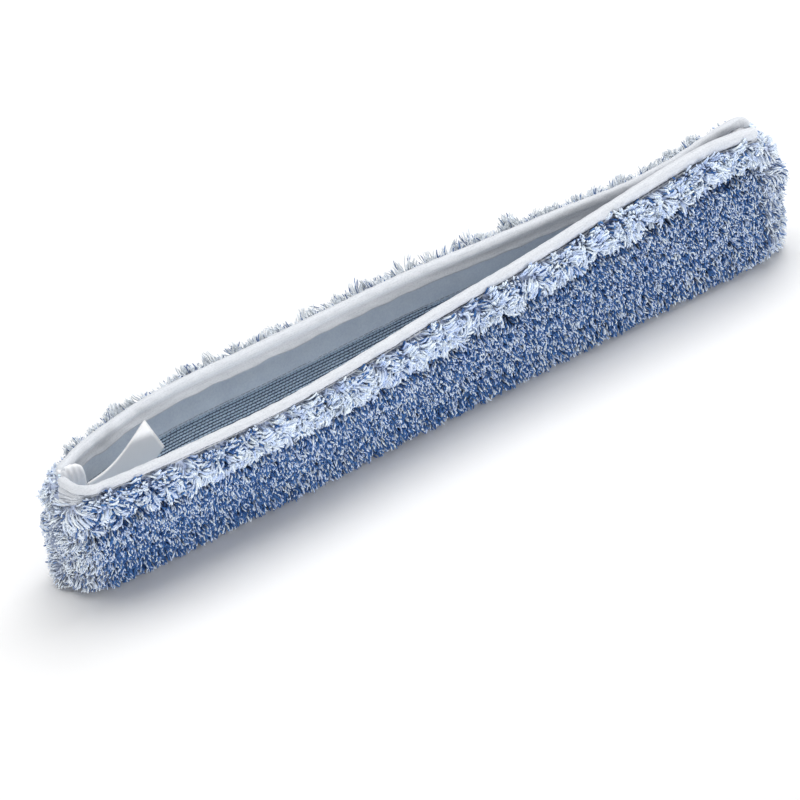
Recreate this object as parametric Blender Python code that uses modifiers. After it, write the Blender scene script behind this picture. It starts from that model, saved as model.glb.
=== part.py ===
"""Slip-on microfibre sleeve of a flat mop: an open pocket of pile fabric with bound mouth and end label."""
import bmesh
import bpy
import numpy as np

MM = 0.001

# Knitted ground of the pile fabric, folded into an open-topped tub
FABRIC_T = 1.2
FLOOR_Z = 8.0
BOTTOM_HALF_WIDTH = 7.5
BOTTOM_LEFT_X = -224.0
BOTTOM_RIGHT_X = 226.0
BOTTOM_END_ROUND = 9.0
WALL_LEAN_POWER = 1.2

# Mouth of the tub: outer face of the ground fabric, (along X, across Y, height Z)
LEFT_SEAM = (-230.0, 0.0, 66.5)
RIGHT_SEAM = (221.0, 0.0, 73.6)
FRONT_MOUTH = (
    (-231.0, -7.0, 66.6), (-230.0, -14.0, 66.5), (-225.0, -18.4, 66.4), (-216.0, -19.6, 66.2),
    (-196.0, -20.8, 65.6), (-158.0, -21.8, 64.8), (-108.0, -21.6, 63.9), (-52.0, -17.4, 64.3),
    (4.0, -12.4, 65.8), (58.0, -10.4, 68.6), (114.0, -7.0, 72.0), (144.0, -4.9, 73.8),
    (170.0, -3.9, 75.6), (192.0, -4.0, 76.4), (208.0, -5.5, 75.8), (217.5, -5.2, 74.6),
)
REAR_MOUTH = (
    (217.5, 5.2, 75.4), (206.0, 5.5, 76.0), (190.0, 4.2, 74.8), (172.0, 3.9, 72.2),
    (146.0, 4.0, 70.6), (124.0, 4.8, 71.0), (100.0, 7.4, 71.2), (52.0, 12.6, 70.0),
    (4.0, 17.6, 69.2), (-48.0, 19.0, 68.6), (-98.0, 20.0, 68.0), (-134.0, 21.4, 67.6),
    (-162.0, 20.2, 67.4), (-190.0, 15.6, 67.2), (-206.0, 12.2, 67.0), (-217.0, 8.2, 66.8),
    (-225.6, 4.6, 66.6),
)

# Pile: depth of the face yarn, the roll under the mouth and the crease below the roll
GAP = 0.3
PILE_T = 9.2
PILE_TOP_T = 4.2
CREASE_DROP = 3.6
SHOULDER_DROP = 1.6
CREASE_LEFT = 21.8
CREASE_RIGHT = 18.0
CREASE_WIDTH = 7.0
LEFT_END_PILE_T = 10.4
RIGHT_END_PILE_T = 12.5
UNDERSIDE_Z = 0.0
PILE_FOOT_Z = 0.6
CUSHION_TOP_INSET = 0.2
CUSHION_BULGE = 5.6
CUSHION_BULGE_Z = 1.2
CUSHION_FOOT = 4.4

# Binding tape folded over the mouth edge, its outer leg pulled down at the front left corner
TAPE_T = 1.0
OUTER_LEG = 7.0
INNER_LEG = 7.7
ARCH_RISE = 2.0
ARCH_SPRING = 0.4
UNDER_RISE = 0.7
UNDER_SPRING = 0.2
HEM_GAP = 0.5
FLARE = 11.0
FLARE_RUN = 13.0
FLARE_BACK_RUN = 4.0

# Facing strip inside the mouth
FACING_T = 0.6
FACING_TOP = 4.5
FACING_BOTTOM = 20.4
FACING_HEM = 1.2

# Sewing thread
THREAD_R = 0.3
THREAD_GAP = 0.12
STITCH = 4.0
STITCH_SWAY = 0.15
SEAM_SWAY = 0.8
STITCH_LEFT = 3.1
STITCH_RIGHT = 5.4

# Tape tails turned in at the end seams, and the loop label sewn to the left one
TUCK_T = 2.4
LEFT_TUCK_REACH = 17.4
LEFT_TUCK_FOOT = 28.0
LEFT_TUCK_TOP = 67.5
RIGHT_TUCK_REACH = 17.5
RIGHT_TUCK_FOOT = 44.0
RIGHT_TUCK_TOP = 73.0
LABEL_LENGTH = 41.5
LABEL_WIDTH = 21.3
LABEL_LAYER = 0.45
LABEL_LOOP = 0.5
LABEL_RISE_DEG = 27.8
LABEL_ROOT_Z = 54.4
TACK_INSET = 1.6
TACK_ZIGZAG = 0.5
TACK_MARGIN = 1.0
TACK_STITCHES = 9

# Places along the mouth: 0 is the left seam, 1 the right seam, 2 the left seam again by way of the rear
LEFT_END = 0.034
RIGHT_END = 0.972
FRONT_TAPE = (0.004, 0.988)
REAR_TAPE = (1.012, 1.984)
FRONT_FACING = (0.012, 0.985)
REAR_FACING = (1.015, 1.978)
STITCH_LEVEL_FROM = 0.7

# Spacing of the sections along the mouth
STATION_STEP = 16.0
TAPE_STATION_STEP = 14.0

# Colours
BLUE = (0.10, 0.22, 0.50)
KNIT = (0.10, 0.16, 0.24)
GREY = (0.24, 0.29, 0.36)
WHITE = (0.80, 0.82, 0.84)
RIBBON = (0.86, 0.88, 0.86)
DARK = (0.12, 0.14, 0.18)

for stale in list(bpy.data.objects):
    bpy.data.objects.remove(stale, do_unlink=True)

sleeve = bpy.data.collections.new("flat_mop_sleeve")
bpy.context.scene.collection.children.link(sleeve)
root = bpy.data.objects.new("sleeve_frame", None)
sleeve.objects.link(root)


def material(name, rgb, rough):
    """One Principled material for one piece."""
    mat = bpy.data.materials.new(name)
    mat.use_nodes = True
    shader = mat.node_tree.nodes["Principled BSDF"]
    shader.inputs["Base Color"].default_value = (rgb[0], rgb[1], rgb[2], 1.0)
    shader.inputs["Roughness"].default_value = rough
    return mat


def add_piece(name, verts, faces, rgb, rough=0.9, parent=root):
    """Named mesh piece from corner points in millimetres."""
    mesh = bpy.data.meshes.new(name)
    mesh.from_pydata([tuple(p) for p in np.asarray(verts) * MM], [], faces)
    work = bmesh.new()
    work.from_mesh(mesh)
    bmesh.ops.recalc_face_normals(work, faces=work.faces[:])
    work.to_mesh(mesh)
    work.free()
    piece = bpy.data.objects.new(name, mesh)
    sleeve.objects.link(piece)
    piece.parent = parent
    mesh.materials.append(material(name + "_mat", rgb, rough))
    return piece


def closed_spline(points, per_span):
    """Smooth closed curve through the points, as a dense polyline."""
    pts = np.asarray(points, float)
    before = np.roll(pts, 1, axis=0)
    after = np.roll(pts, -1, axis=0)
    after2 = np.roll(pts, -2, axis=0)
    knot0 = np.linalg.norm(pts - before, axis=1) ** 0.5
    knot1 = np.linalg.norm(after - pts, axis=1) ** 0.5
    knot2 = np.linalg.norm(after2 - after, axis=1) ** 0.5
    slope_a = (pts - before) / knot0[:, None] - (after - before) / (knot0 + knot1)[:, None]
    slope_a = (slope_a + (after - pts) / knot1[:, None]) * knot1[:, None]
    slope_b = (after - pts) / knot1[:, None] - (after2 - pts) / (knot1 + knot2)[:, None]
    slope_b = (slope_b + (after2 - after) / knot2[:, None]) * knot1[:, None]
    s = np.linspace(0.0, 1.0, per_span, endpoint=False)[None, :, None]
    h00 = 2 * s ** 3 - 3 * s ** 2 + 1
    h10 = s ** 3 - 2 * s ** 2 + s
    h01 = -2 * s ** 3 + 3 * s ** 2
    h11 = s ** 3 - s ** 2
    curve = h00 * pts[:, None] + h10 * slope_a[:, None] + h01 * after[:, None] + h11 * slope_b[:, None]
    return curve.reshape(-1, 3)


def half_rings(points, right_index, per_span=24):
    """Split a closed curve at the two end seams and give each half an arc-length fraction."""
    curve = closed_spline(points, per_span)
    cut = right_index * per_span
    front = curve[:cut + 1]
    rear = np.vstack([curve[cut:], curve[:1]])[::-1]
    halves = []
    for line in (front, rear):
        steps = np.linalg.norm(np.diff(line, axis=0), axis=1)
        arc = np.concatenate([[0.0], np.cumsum(steps)])
        halves.append((arc / arc[-1], line))
    return halves


def bottom_front():
    """Front half of the fold line: straight, with an elliptical quarter round at each end."""
    turn = np.radians([32.0, 65.0, 90.0])
    into = BOTTOM_END_ROUND * (1.0 - np.cos(turn))
    across = -BOTTOM_HALF_WIDTH * np.sin(turn)
    left = [(BOTTOM_LEFT_X + x, y, FLOOR_Z) for x, y in zip(into, across)]
    right = [(BOTTOM_RIGHT_X - x, y, FLOOR_Z) for x, y in zip(into, across)]
    middle = [(x, -BOTTOM_HALF_WIDTH, FLOOR_Z) for x in np.linspace(BOTTOM_LEFT_X, BOTTOM_RIGHT_X, 5)[1:-1]]
    return left + middle + right[::-1]


mouth_points = [LEFT_SEAM] + list(FRONT_MOUTH) + [RIGHT_SEAM] + list(REAR_MOUTH)
MOUTH = half_rings(mouth_points, len(FRONT_MOUTH) + 1)
MOUTH_RUN = np.linalg.norm(np.diff(MOUTH[0][1], axis=0), axis=1).sum()
fold_front = bottom_front()
fold_rear = [(x, -y, z) for x, y, z in reversed(fold_front)]
fold_points = [(BOTTOM_LEFT_X, 0.0, FLOOR_Z)] + fold_front + [(BOTTOM_RIGHT_X, 0.0, FLOOR_Z)] + fold_rear
BOTTOM = half_rings(fold_points, len(fold_front) + 1)


def on_half(halves, t):
    """Point on a ring: 0 to 1 runs along the front, 1 to 2 back along the rear."""
    t = np.mod(np.asarray(t, float), 2.0)
    front_at = np.stack([np.interp(t, halves[0][0], halves[0][1][:, k]) for k in range(3)], -1)
    rear_at = np.stack([np.interp(2.0 - t, halves[1][0], halves[1][1][:, k]) for k in range(3)], -1)
    return np.where((t <= 1.0)[..., None], front_at, rear_at)


def wall_point(t, v):
    """Outer face of the ground fabric: straight up in Z, leaning more towards the mouth."""
    t, v = np.broadcast_arrays(np.asarray(t, float), np.asarray(v, float))
    low = on_half(BOTTOM, t)
    high = on_half(MOUTH, t)
    lean = np.sign(v) * np.abs(v) ** WALL_LEAN_POWER
    out = low + (high - low) * lean[..., None]
    out[..., 2] = low[..., 2] + (high[..., 2] - low[..., 2]) * v
    return out


def wall_frame(t, v):
    """Point, outward normal and unit vector up the wall."""
    dt = 0.002
    dv = 0.01
    point = wall_point(t, v)
    along = wall_point(np.asarray(t) + dt, v) - wall_point(np.asarray(t) - dt, v)
    up = wall_point(t, np.asarray(v) + dv) - wall_point(t, np.asarray(v) - dv)
    normal = np.cross(along, up)
    normal /= np.linalg.norm(normal, axis=-1, keepdims=True)
    up /= np.linalg.norm(up, axis=-1, keepdims=True)
    return point, normal, up


def wall_slant(t):
    """Length of the wall from the fold up to the mouth edge."""
    t = np.asarray(t, float)
    return np.linalg.norm(wall_point(t, np.ones_like(t)) - wall_point(t, np.zeros_like(t)), axis=-1)


def v_below_edge(t, depth):
    """Height fraction of a point a given distance down the wall from the mouth edge."""
    return 1.0 - depth / wall_slant(t)


def share_along(t):
    """Share of the way from the left seam to the right seam, on the front or on the rear."""
    t = np.mod(np.asarray(t, float), 2.0)
    return np.where(t <= 1.0, t, 2.0 - t)


def flare(t):
    """How far the tape's outer leg is pulled down: most at the left seam, less along the front, little behind it."""
    past_seam = (np.mod(np.asarray(t, float) + 1.0, 2.0) - 1.0 - FRONT_TAPE[0]) * MOUTH_RUN
    ahead = np.exp(-(np.maximum(past_seam, 0.0) / FLARE_RUN) ** 2)
    behind = np.exp(-(np.minimum(past_seam, 0.0) / FLARE_BACK_RUN) ** 2)
    return FLARE * ahead * behind


def grid_faces(rows, cols, start=0, flip=False):
    """Quads of a rows by cols grid of points."""
    faces = []
    for r in range(rows - 1):
        for c in range(cols - 1):
            a = start + r * cols + c
            quad = (a, a + 1, a + cols + 1, a + cols)
            faces.append(quad[::-1] if flip else quad)
    return faces


def ring_faces(rows, wide):
    """Quads between closed rings of points, one ring above another."""
    faces = []
    for r in range(rows - 1):
        for c in range(wide):
            nxt = (c + 1) % wide
            faces.append((r * wide + c, r * wide + nxt, (r + 1) * wide + nxt, (r + 1) * wide + c))
    return faces


def slab(inner, outer):
    """Closed thick sheet between two grids with the same rows and columns."""
    rows, cols, _ = inner.shape
    n = rows * cols
    verts = np.concatenate([outer.reshape(-1, 3), inner.reshape(-1, 3)])
    faces = grid_faces(rows, cols) + grid_faces(rows, cols, n, True)
    for c in range(cols - 1):
        faces.append((c + 1, c, n + c, n + c + 1))
        a = (rows - 1) * cols + c
        faces.append((a, a + 1, n + a + 1, n + a))
    for r in range(rows - 1):
        a = r * cols
        faces.append((a, a + cols, n + a + cols, n + a))
        b = a + cols - 1
        faces.append((b + cols, b, n + b, n + b + cols))
    return verts, faces


def sweep(rings):
    """Closed bar from a row of closed profiles, with flat ends."""
    count, size, _ = rings.shape
    faces = ring_faces(count, size)
    faces.append(tuple(range(size))[::-1])
    faces.append(tuple((count - 1) * size + j for j in range(size)))
    return rings.reshape(-1, 3), faces


def columns(start, stop, step=STATION_STEP):
    """Stations along a ring part, about one every step millimetres and closer round the ends."""
    fine = np.array([0.0, 0.0045, 0.009, 0.0135, 0.018, 0.0225, 0.027, 0.034, 0.042, 0.053, 0.068])
    middle_from = 0.085
    middle_share = 1.0 - 2.0 * middle_from
    middle = np.linspace(middle_from, 1.0 - middle_from, int(round(middle_share * MOUTH_RUN / step)))
    front = np.concatenate([fine, middle, 1.0 - fine[::-1]])
    ring = np.concatenate([front, 2.0 - front])
    every = np.unique(np.round(np.concatenate([ring - 2.0, ring]), 6))
    least = 0.0012
    inside = every[(every > start + least) & (every < stop - least)]
    return np.concatenate([[start], inside, [stop]])


# Ground fabric: the tub, from rings at rising heights with a flat floor
ring_t = columns(0.0, 2.0)[:-1]
ring_v = np.array([0.0, 0.1, 0.25, 0.45, 0.65, 0.85, 1.0])
wide = len(ring_t)
tub = wall_point(ring_t[None, :], ring_v[:, None])
tub_faces = ring_faces(len(ring_v), wide) + [tuple(range(wide))[::-1]]
ground = add_piece("ground_fabric", tub.reshape(-1, 3), tub_faces, KNIT)
shell = ground.modifiers.new("cloth", "SOLIDIFY")
shell.thickness = FABRIC_T * MM
shell.offset = -1.0
shell.use_even_offset = True


def pile_piece(name, start, stop, middle_t):
    """Pile over one part of the wall, swelling to a given depth at the middle of that part: the roll under the hem,
    the crease, then an even field that tips down over the lower edge to meet the underside."""
    t = columns(start, stop)
    swell = np.sin(np.pi * (t - start) / (stop - start))
    body = PILE_T + (middle_t - PILE_T) * swell
    pull = flare(t)
    hem = OUTER_LEG + HEM_GAP + pull
    crease = CREASE_LEFT + (CREASE_RIGHT - CREASE_LEFT) * share_along(t) + pull
    upper = crease - 0.5 * CREASE_WIDTH
    crown = hem + 0.55 * (upper - hem)
    rows = [
        (crease + 2.0 * CREASE_WIDTH, body),
        (crease + CREASE_WIDTH, body),
        (crease + 0.5 * CREASE_WIDTH, body - SHOULDER_DROP),
        (crease, body - CREASE_DROP),
        (upper, body - SHOULDER_DROP),
        (crown, body),
        (0.5 * (hem + crown), body - SHOULDER_DROP),
        (hem, np.full_like(t, PILE_TOP_T)),
    ]
    foot_v = np.array([0.0, 0.06, 0.13, 0.24])
    foot_tip = np.radians([45.0, 24.0, 10.0, 0.0])
    field_foot = 0.28
    v_foot = np.broadcast_to(foot_v[:, None], (len(foot_v), len(t)))
    v_rows = np.stack([np.maximum(v_below_edge(t, depth), field_foot) for depth, _ in rows])
    v = np.vstack([v_foot, v_rows])
    deep = np.stack([body] * len(foot_v) + [tall for _, tall in rows])
    tip = np.interp(v, foot_v, foot_tip)[..., None]
    point, normal, up = wall_frame(np.broadcast_to(t, v.shape), v)
    level = normal * np.array([1.0, 1.0, 0.0])
    level /= np.linalg.norm(level, axis=-1, keepdims=True)
    tipped = level * np.cos(tip) - np.array([0.0, 0.0, 1.0]) * np.sin(tip)
    way = np.where(tip > 0.0, tipped, normal)
    inner = point + normal * GAP
    outer = point + way * (GAP + deep)[..., None]
    outer[..., 2] = np.maximum(outer[..., 2], UNDERSIDE_Z + PILE_FOOT_Z)
    return add_piece(name, *slab(inner, outer), BLUE)


half_gap = 0.5 * GAP / MOUTH_RUN
pile_piece("front_pile", LEFT_END + half_gap, RIGHT_END - half_gap, PILE_T)
pile_piece("right_end_pile", RIGHT_END + half_gap, 2.0 - RIGHT_END - half_gap, RIGHT_END_PILE_T)
pile_piece("rear_pile", 2.0 - RIGHT_END + half_gap, 2.0 - LEFT_END - half_gap, PILE_T)
pile_piece("left_end_pile", -LEFT_END + half_gap, LEFT_END - half_gap, LEFT_END_PILE_T)

# Bottom pile: the cushion under the fold, flat where it rests
base = on_half(BOTTOM, ring_t)
step_t = 0.004
ahead = on_half(BOTTOM, ring_t + step_t) - on_half(BOTTOM, ring_t - step_t)
side = np.cross(ahead, (0.0, 0.0, 1.0))
side /= np.linalg.norm(side, axis=-1, keepdims=True)
cushion = []
for spread, level in ((CUSHION_FOOT, UNDERSIDE_Z), (CUSHION_BULGE, UNDERSIDE_Z + CUSHION_BULGE_Z),
                      (-CUSHION_TOP_INSET, FLOOR_Z - GAP)):
    ring = base + side * spread
    ring[:, 2] = level
    cushion.append(ring)
add_piece("bottom_pile", *sweep(np.array(cushion)), BLUE)


def facing_piece(name, reach):
    """Smooth strip against the inner face of the ground fabric, its top edge caught under the tape."""
    t = columns(*reach)
    v = np.stack([v_below_edge(t, depth) for depth in np.linspace(FACING_BOTTOM, FACING_TOP, 4)])
    point, normal, up = wall_frame(np.broadcast_to(t, v.shape), v)
    outer = point - normal * (FABRIC_T + GAP)
    inner = outer - normal * FACING_T
    return add_piece(name, *slab(inner, outer), GREY, 0.7)


facing_piece("front_facing", FRONT_FACING)
facing_piece("rear_facing", REAR_FACING)


def tape_profile():
    """Inverted U, as outward and downward distances from the mouth edge, legs down both faces. The first and last
    points are the foot of the outer leg."""
    out = GAP + TAPE_T
    back = -(FABRIC_T + GAP + FACING_T + GAP + TAPE_T)
    centre = 0.5 * (out + back)
    half = 0.5 * (out - back)
    over = np.linspace(0.0, np.pi, 9)
    top = [(centre + half * np.cos(a), ARCH_SPRING - (ARCH_RISE + ARCH_SPRING) * np.sin(a)) for a in over]
    inside = half - TAPE_T
    under = np.linspace(np.pi, 0.0, 5)
    lining = [(centre + inside * np.cos(a), UNDER_SPRING - (UNDER_RISE + UNDER_SPRING) * np.sin(a)) for a in under]
    hem = [(back, INNER_LEG), (back + TAPE_T, INNER_LEG)]
    return np.array([(out, OUTER_LEG)] + top + hem + lining + [(out - TAPE_T, OUTER_LEG)])


def tape_piece(name, reach, pull):
    """Binding tape swept along one side of the mouth, its outer leg pulled down by the flare where asked."""
    t = columns(*reach, TAPE_STATION_STEP)
    point, normal, up = wall_frame(t, np.ones_like(t))
    shape = tape_profile()
    down = np.repeat(shape[None, :, 1], len(t), axis=0)
    down[:, [0, -1]] += pull * flare(t)[:, None]
    rings = point[:, None] + normal[:, None] * shape[None, :, :1] - up[:, None] * down[..., None]
    return add_piece(name, *sweep(rings), WHITE, 0.8)


tape_piece("front_binding", FRONT_TAPE, 1.0)
tape_piece("rear_binding", REAR_TAPE, 0.0)

thread_lift = THREAD_R + THREAD_GAP


def tuck_piece(name, seam, free_x, low, high):
    """Two tape tails laid together, standing in the end of the pocket against the seam."""
    z = np.linspace(low, high, 4)[:, None] * np.ones(4)
    seam_x = wall_point(seam, (z - FLOOR_Z) / (on_half(MOUTH, seam)[2] - FLOOR_Z))[..., 0]
    inward = np.sign(free_x - seam_x[0, 0])
    edge = seam_x + inward * (FABRIC_T + thread_lift + THREAD_R + GAP)
    x = edge + (free_x - edge) * np.linspace(0.0, 1.0, 4)
    front = np.stack([x, np.full_like(x, -0.5 * TUCK_T), z], -1)
    back = np.stack([x, np.full_like(x, 0.5 * TUCK_T), z], -1)
    return add_piece(name, *slab(back, front), WHITE, 0.8)


left_tuck_x = LEFT_SEAM[0] + LEFT_TUCK_REACH
right_tuck_x = RIGHT_SEAM[0] - RIGHT_TUCK_REACH
tuck_piece("left_tuck", 0.0, left_tuck_x, LEFT_TUCK_FOOT, LEFT_TUCK_TOP)
tuck_piece("right_tuck", 1.0, right_tuck_x, RIGHT_TUCK_FOOT, RIGHT_TUCK_TOP)

# Label: one ribbon folded back on itself, its cut root upright against the tape tails
rise = np.radians(LABEL_RISE_DEG)
reach = LABEL_LENGTH * np.cos(rise)
drop = LABEL_WIDTH / np.cos(rise)
inner_half = 0.5 * LABEL_LOOP
outer_half = inner_half + LABEL_LAYER
bend = np.linspace(-0.5 * np.pi, 0.5 * np.pi, 9)
straight = np.array([0.0, 0.3, 0.6]) * reach


def ribbon_side(half):
    """One face of the folded ribbon in plan: out along one layer, round the fold and back along the other."""
    out = [(x, -half) for x in straight]
    fold = [(reach - outer_half + half * np.cos(a), half * np.sin(a)) for a in bend]
    return out + fold + [(x, half) for x in straight[::-1]]


ribbon = np.array(ribbon_side(outer_half) + ribbon_side(inner_half)[::-1])
edges = []
for level in np.linspace(1.0, 0.0, 4):
    slant_x = ribbon[:, 0] * (1.0 + level * LABEL_WIDTH * np.sin(rise) / reach)
    height = slant_x * np.tan(rise) - drop * level
    edges.append(np.stack([slant_x, ribbon[:, 1], height], -1))
label_hinge = bpy.data.objects.new("label_hinge", None)
sleeve.objects.link(label_hinge)
label_hinge.parent = root
label_hinge.location = ((left_tuck_x + GAP) * MM, 0.0, LABEL_ROOT_Z * MM)
add_piece("label", *sweep(np.array(edges)), RIBBON, 0.6, label_hinge)


def thread_piece(name, path, rgb):
    """One run of sewing thread as a round cord."""
    curve = bpy.data.curves.new(name, "CURVE")
    curve.dimensions = "3D"
    curve.bevel_depth = THREAD_R * MM
    curve.bevel_resolution = 0
    curve.use_fill_caps = True
    line = curve.splines.new("POLY")
    line.points.add(len(path) - 1)
    flat = np.column_stack([np.asarray(path) * MM, np.ones(len(path))])
    line.points.foreach_set("co", flat.ravel())
    cord = bpy.data.objects.new(name, curve)
    sleeve.objects.link(cord)
    cord.parent = root
    curve.materials.append(material(name + "_mat", rgb, 0.6))
    return cord


def sway(count, size):
    """Swing to one side and the other from stitch to stitch."""
    return size * np.where(np.arange(count) % 2 == 0, 1.0, -1.0)


def stitch_depth(t):
    """Depth of the tape's stitch line: close under the edge at the left, deeper to the right, then level."""
    return STITCH_LEFT + (STITCH_RIGHT - STITCH_LEFT) * np.minimum(share_along(t) / STITCH_LEVEL_FROM, 1.0)


def facing_hem(t):
    """Depth of the facing's lower stitch line."""
    return np.full_like(t, FACING_BOTTOM - FACING_HEM)


def mouth_run(start, stop, depth_at, offset):
    """Stitch run along the mouth, swaying a little up and down from stitch to stitch."""
    t = np.linspace(start, stop, int(abs(stop - start) * MOUTH_RUN / STITCH))
    point, normal, up = wall_frame(t, v_below_edge(t, depth_at(t)))
    return point + normal * offset + up * sway(len(t), STITCH_SWAY)[:, None]


def seam_run(t, low, high):
    """Overlock run up the inside of an end seam."""
    v = np.linspace(low, high, int((high - low) * wall_slant(t) / STITCH))
    point, normal, up = wall_frame(t + sway(len(v), SEAM_SWAY) / MOUTH_RUN, v)
    return point - normal * (FABRIC_T + thread_lift)


tape_out = GAP + TAPE_T + thread_lift
facing_in = -(FABRIC_T + GAP + FACING_T + thread_lift)
thread_piece("front_binding_thread", mouth_run(0.03, 0.975, stitch_depth, tape_out), DARK)
thread_piece("rear_binding_thread", mouth_run(1.03, 1.965, stitch_depth, tape_out), DARK)
thread_piece("front_facing_thread", mouth_run(0.04, 0.965, facing_hem, facing_in), GREY)
thread_piece("rear_facing_thread", mouth_run(1.035, 1.955, facing_hem, facing_in), GREY)
thread_piece("left_seam_thread", seam_run(0.0, 0.06, 0.32), WHITE)
thread_piece("right_seam_thread", seam_run(1.0, 0.06, 0.52), WHITE)

# Bar tack that holds the label root in the tape tails
tack_z = np.linspace(LABEL_ROOT_Z - drop + TACK_MARGIN, LABEL_ROOT_Z - TACK_MARGIN, TACK_STITCHES)
tack_x = left_tuck_x - TACK_INSET + sway(TACK_STITCHES, TACK_ZIGZAG)
tack_y = np.full(TACK_STITCHES, -(0.5 * TUCK_T + thread_lift))
thread_piece("label_tack", np.stack([tack_x, tack_y, tack_z], -1), WHITE)
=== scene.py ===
import bpy
import numpy as np
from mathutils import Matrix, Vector


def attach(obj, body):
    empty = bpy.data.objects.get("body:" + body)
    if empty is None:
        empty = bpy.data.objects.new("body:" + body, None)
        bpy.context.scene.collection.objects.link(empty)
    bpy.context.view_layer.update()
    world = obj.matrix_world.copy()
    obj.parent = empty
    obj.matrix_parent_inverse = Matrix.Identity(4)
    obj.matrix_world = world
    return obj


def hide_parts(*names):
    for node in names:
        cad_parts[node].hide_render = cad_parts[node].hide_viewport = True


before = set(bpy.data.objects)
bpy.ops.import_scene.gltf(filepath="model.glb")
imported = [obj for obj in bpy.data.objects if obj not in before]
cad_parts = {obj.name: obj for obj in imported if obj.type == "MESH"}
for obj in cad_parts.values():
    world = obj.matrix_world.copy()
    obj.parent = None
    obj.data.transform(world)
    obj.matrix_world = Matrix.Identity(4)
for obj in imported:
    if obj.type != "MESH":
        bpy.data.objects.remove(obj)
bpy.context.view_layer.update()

# Camera: a long lens from the left front, looking down into the open mouth of the sleeve.
# At four metres the view is nearly parallel, as in a catalogue picture.
CAMERA_AZIMUTH = np.radians(-41.0)
CAMERA_ELEVATION = np.radians(35.0)
CAMERA_DISTANCE = 4.0
CAMERA_LENS = 364.9
CAMERA_SENSOR = 36.0
CAMERA_FAR = 50.0
CAMERA_AIM = Vector((-0.01474, 0.0, 0.01229))
camera_back = Vector((
    np.sin(CAMERA_AZIMUTH) * np.cos(CAMERA_ELEVATION),
    -np.cos(CAMERA_AZIMUTH) * np.cos(CAMERA_ELEVATION),
    np.sin(CAMERA_ELEVATION),
))
camera_data = bpy.data.cameras.new("camera")
camera_data.lens = CAMERA_LENS
camera_data.sensor_width = CAMERA_SENSOR
camera_data.clip_end = CAMERA_FAR
camera = bpy.data.objects.new("camera", camera_data)
camera.location = CAMERA_AIM + camera_back * CAMERA_DISTANCE
camera.rotation_euler = camera_back.to_track_quat("Z", "Y").to_euler()
bpy.context.scene.collection.objects.link(camera)
bpy.context.scene.camera = camera

# Studio: a pale floor that the light brings up to white and that keeps the soft shadow of the sleeve.
# A wide light hangs a little behind it, with a smaller one to the right, two low fills and a white surround.
FLOOR_HALF = 6.0
FLOOR_Z = -0.0002
FLOOR_WHITE = 0.90
LIT_POINT = (0.0, 0.0, 0.03)
SURROUND_STRENGTH = 0.31
floor_mesh = bpy.data.meshes.new("floor")
floor_corners = [(x * FLOOR_HALF, y * FLOOR_HALF, FLOOR_Z) for x, y in ((-1, -1), (1, -1), (1, 1), (-1, 1))]
floor_mesh.from_pydata(floor_corners, [], [(0, 1, 2, 3)])
floor = bpy.data.objects.new("floor", floor_mesh)
bpy.context.scene.collection.objects.link(floor)
floor_paint = bpy.data.materials.new("floor_paint")
floor_paint.use_nodes = True
floor_shader = floor_paint.node_tree.nodes["Principled BSDF"]
floor_shader.inputs["Base Color"].default_value = (FLOOR_WHITE, FLOOR_WHITE, FLOOR_WHITE, 1.0)
floor_shader.inputs["Roughness"].default_value = 1.0
floor_shader.inputs["Specular IOR Level"].default_value = 0.0
floor_mesh.materials.append(floor_paint)


def soft_light(name, width, height, watts, at):
    """Rectangular lamp at a place, turned to face the sleeve."""
    lamp = bpy.data.lights.new(name, "AREA")
    lamp.shape = "RECTANGLE"
    lamp.size = width
    lamp.size_y = height
    lamp.energy = watts
    holder = bpy.data.objects.new(name, lamp)
    holder.location = at
    holder.rotation_euler = (Vector(at) - Vector(LIT_POINT)).to_track_quat("Z", "Y").to_euler()
    holder.visible_camera = False
    bpy.context.scene.collection.objects.link(holder)


soft_light("overhead", 3.0, 1.0, 29.4, (0.05, 0.38, 1.5))
soft_light("back_right", 1.2, 0.8, 5.5, (0.9, 0.8, 1.2))
soft_light("low_left", 1.2, 0.25, 12.4, (-1.3, -1.3, 0.17))
soft_light("low_right", 1.2, 0.25, 16.8, (1.3, -1.3, 0.17))

surround = bpy.data.worlds.new("surround")
surround.use_nodes = True
surround.node_tree.nodes["Background"].inputs["Color"].default_value = (1.0, 1.0, 1.0, 1.0)
surround.node_tree.nodes["Background"].inputs["Strength"].default_value = SURROUND_STRENGTH
bpy.context.scene.world = surround
bpy.context.scene.view_settings.view_transform = "Standard"

# Ground knit: the ribbed back of the pile fabric, one panel folded up into a U and sewn at both ends,
# so that it makes a long tub. Its ribs run along the length and show inside the pocket.
# Sizes in this file are millimetres, turned into metres when a mesh is made.
MM = 0.001
FABRIC_T = 1.2
TUB_FLOOR = 8.0
TUB_HALF_WIDTH = 7.5
TUB_LEFT = -224.0
TUB_RIGHT = 226.0
END_ROUND = 9.0
LEAN_POWER = 1.2
WALL_LENGTH = 458.0
LEFT_SEAM = (-230.0, 0.0, 66.5)
RIGHT_SEAM = (221.0, 0.0, 73.6)
FRONT_MOUTH = [
    (-231.0, -7.0, 66.6), (-230.0, -14.0, 66.5), (-225.0, -18.4, 66.4), (-216.0, -19.6, 66.2),
    (-196.0, -20.8, 65.6), (-158.0, -21.8, 64.8), (-108.0, -21.6, 63.9), (-52.0, -17.4, 64.3),
    (4.0, -12.4, 65.8), (58.0, -10.4, 68.6), (114.0, -7.0, 72.0), (144.0, -4.9, 73.8),
    (170.0, -3.9, 75.6), (192.0, -4.0, 76.4), (208.0, -5.5, 75.8), (217.5, -5.2, 74.6),
]
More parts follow.
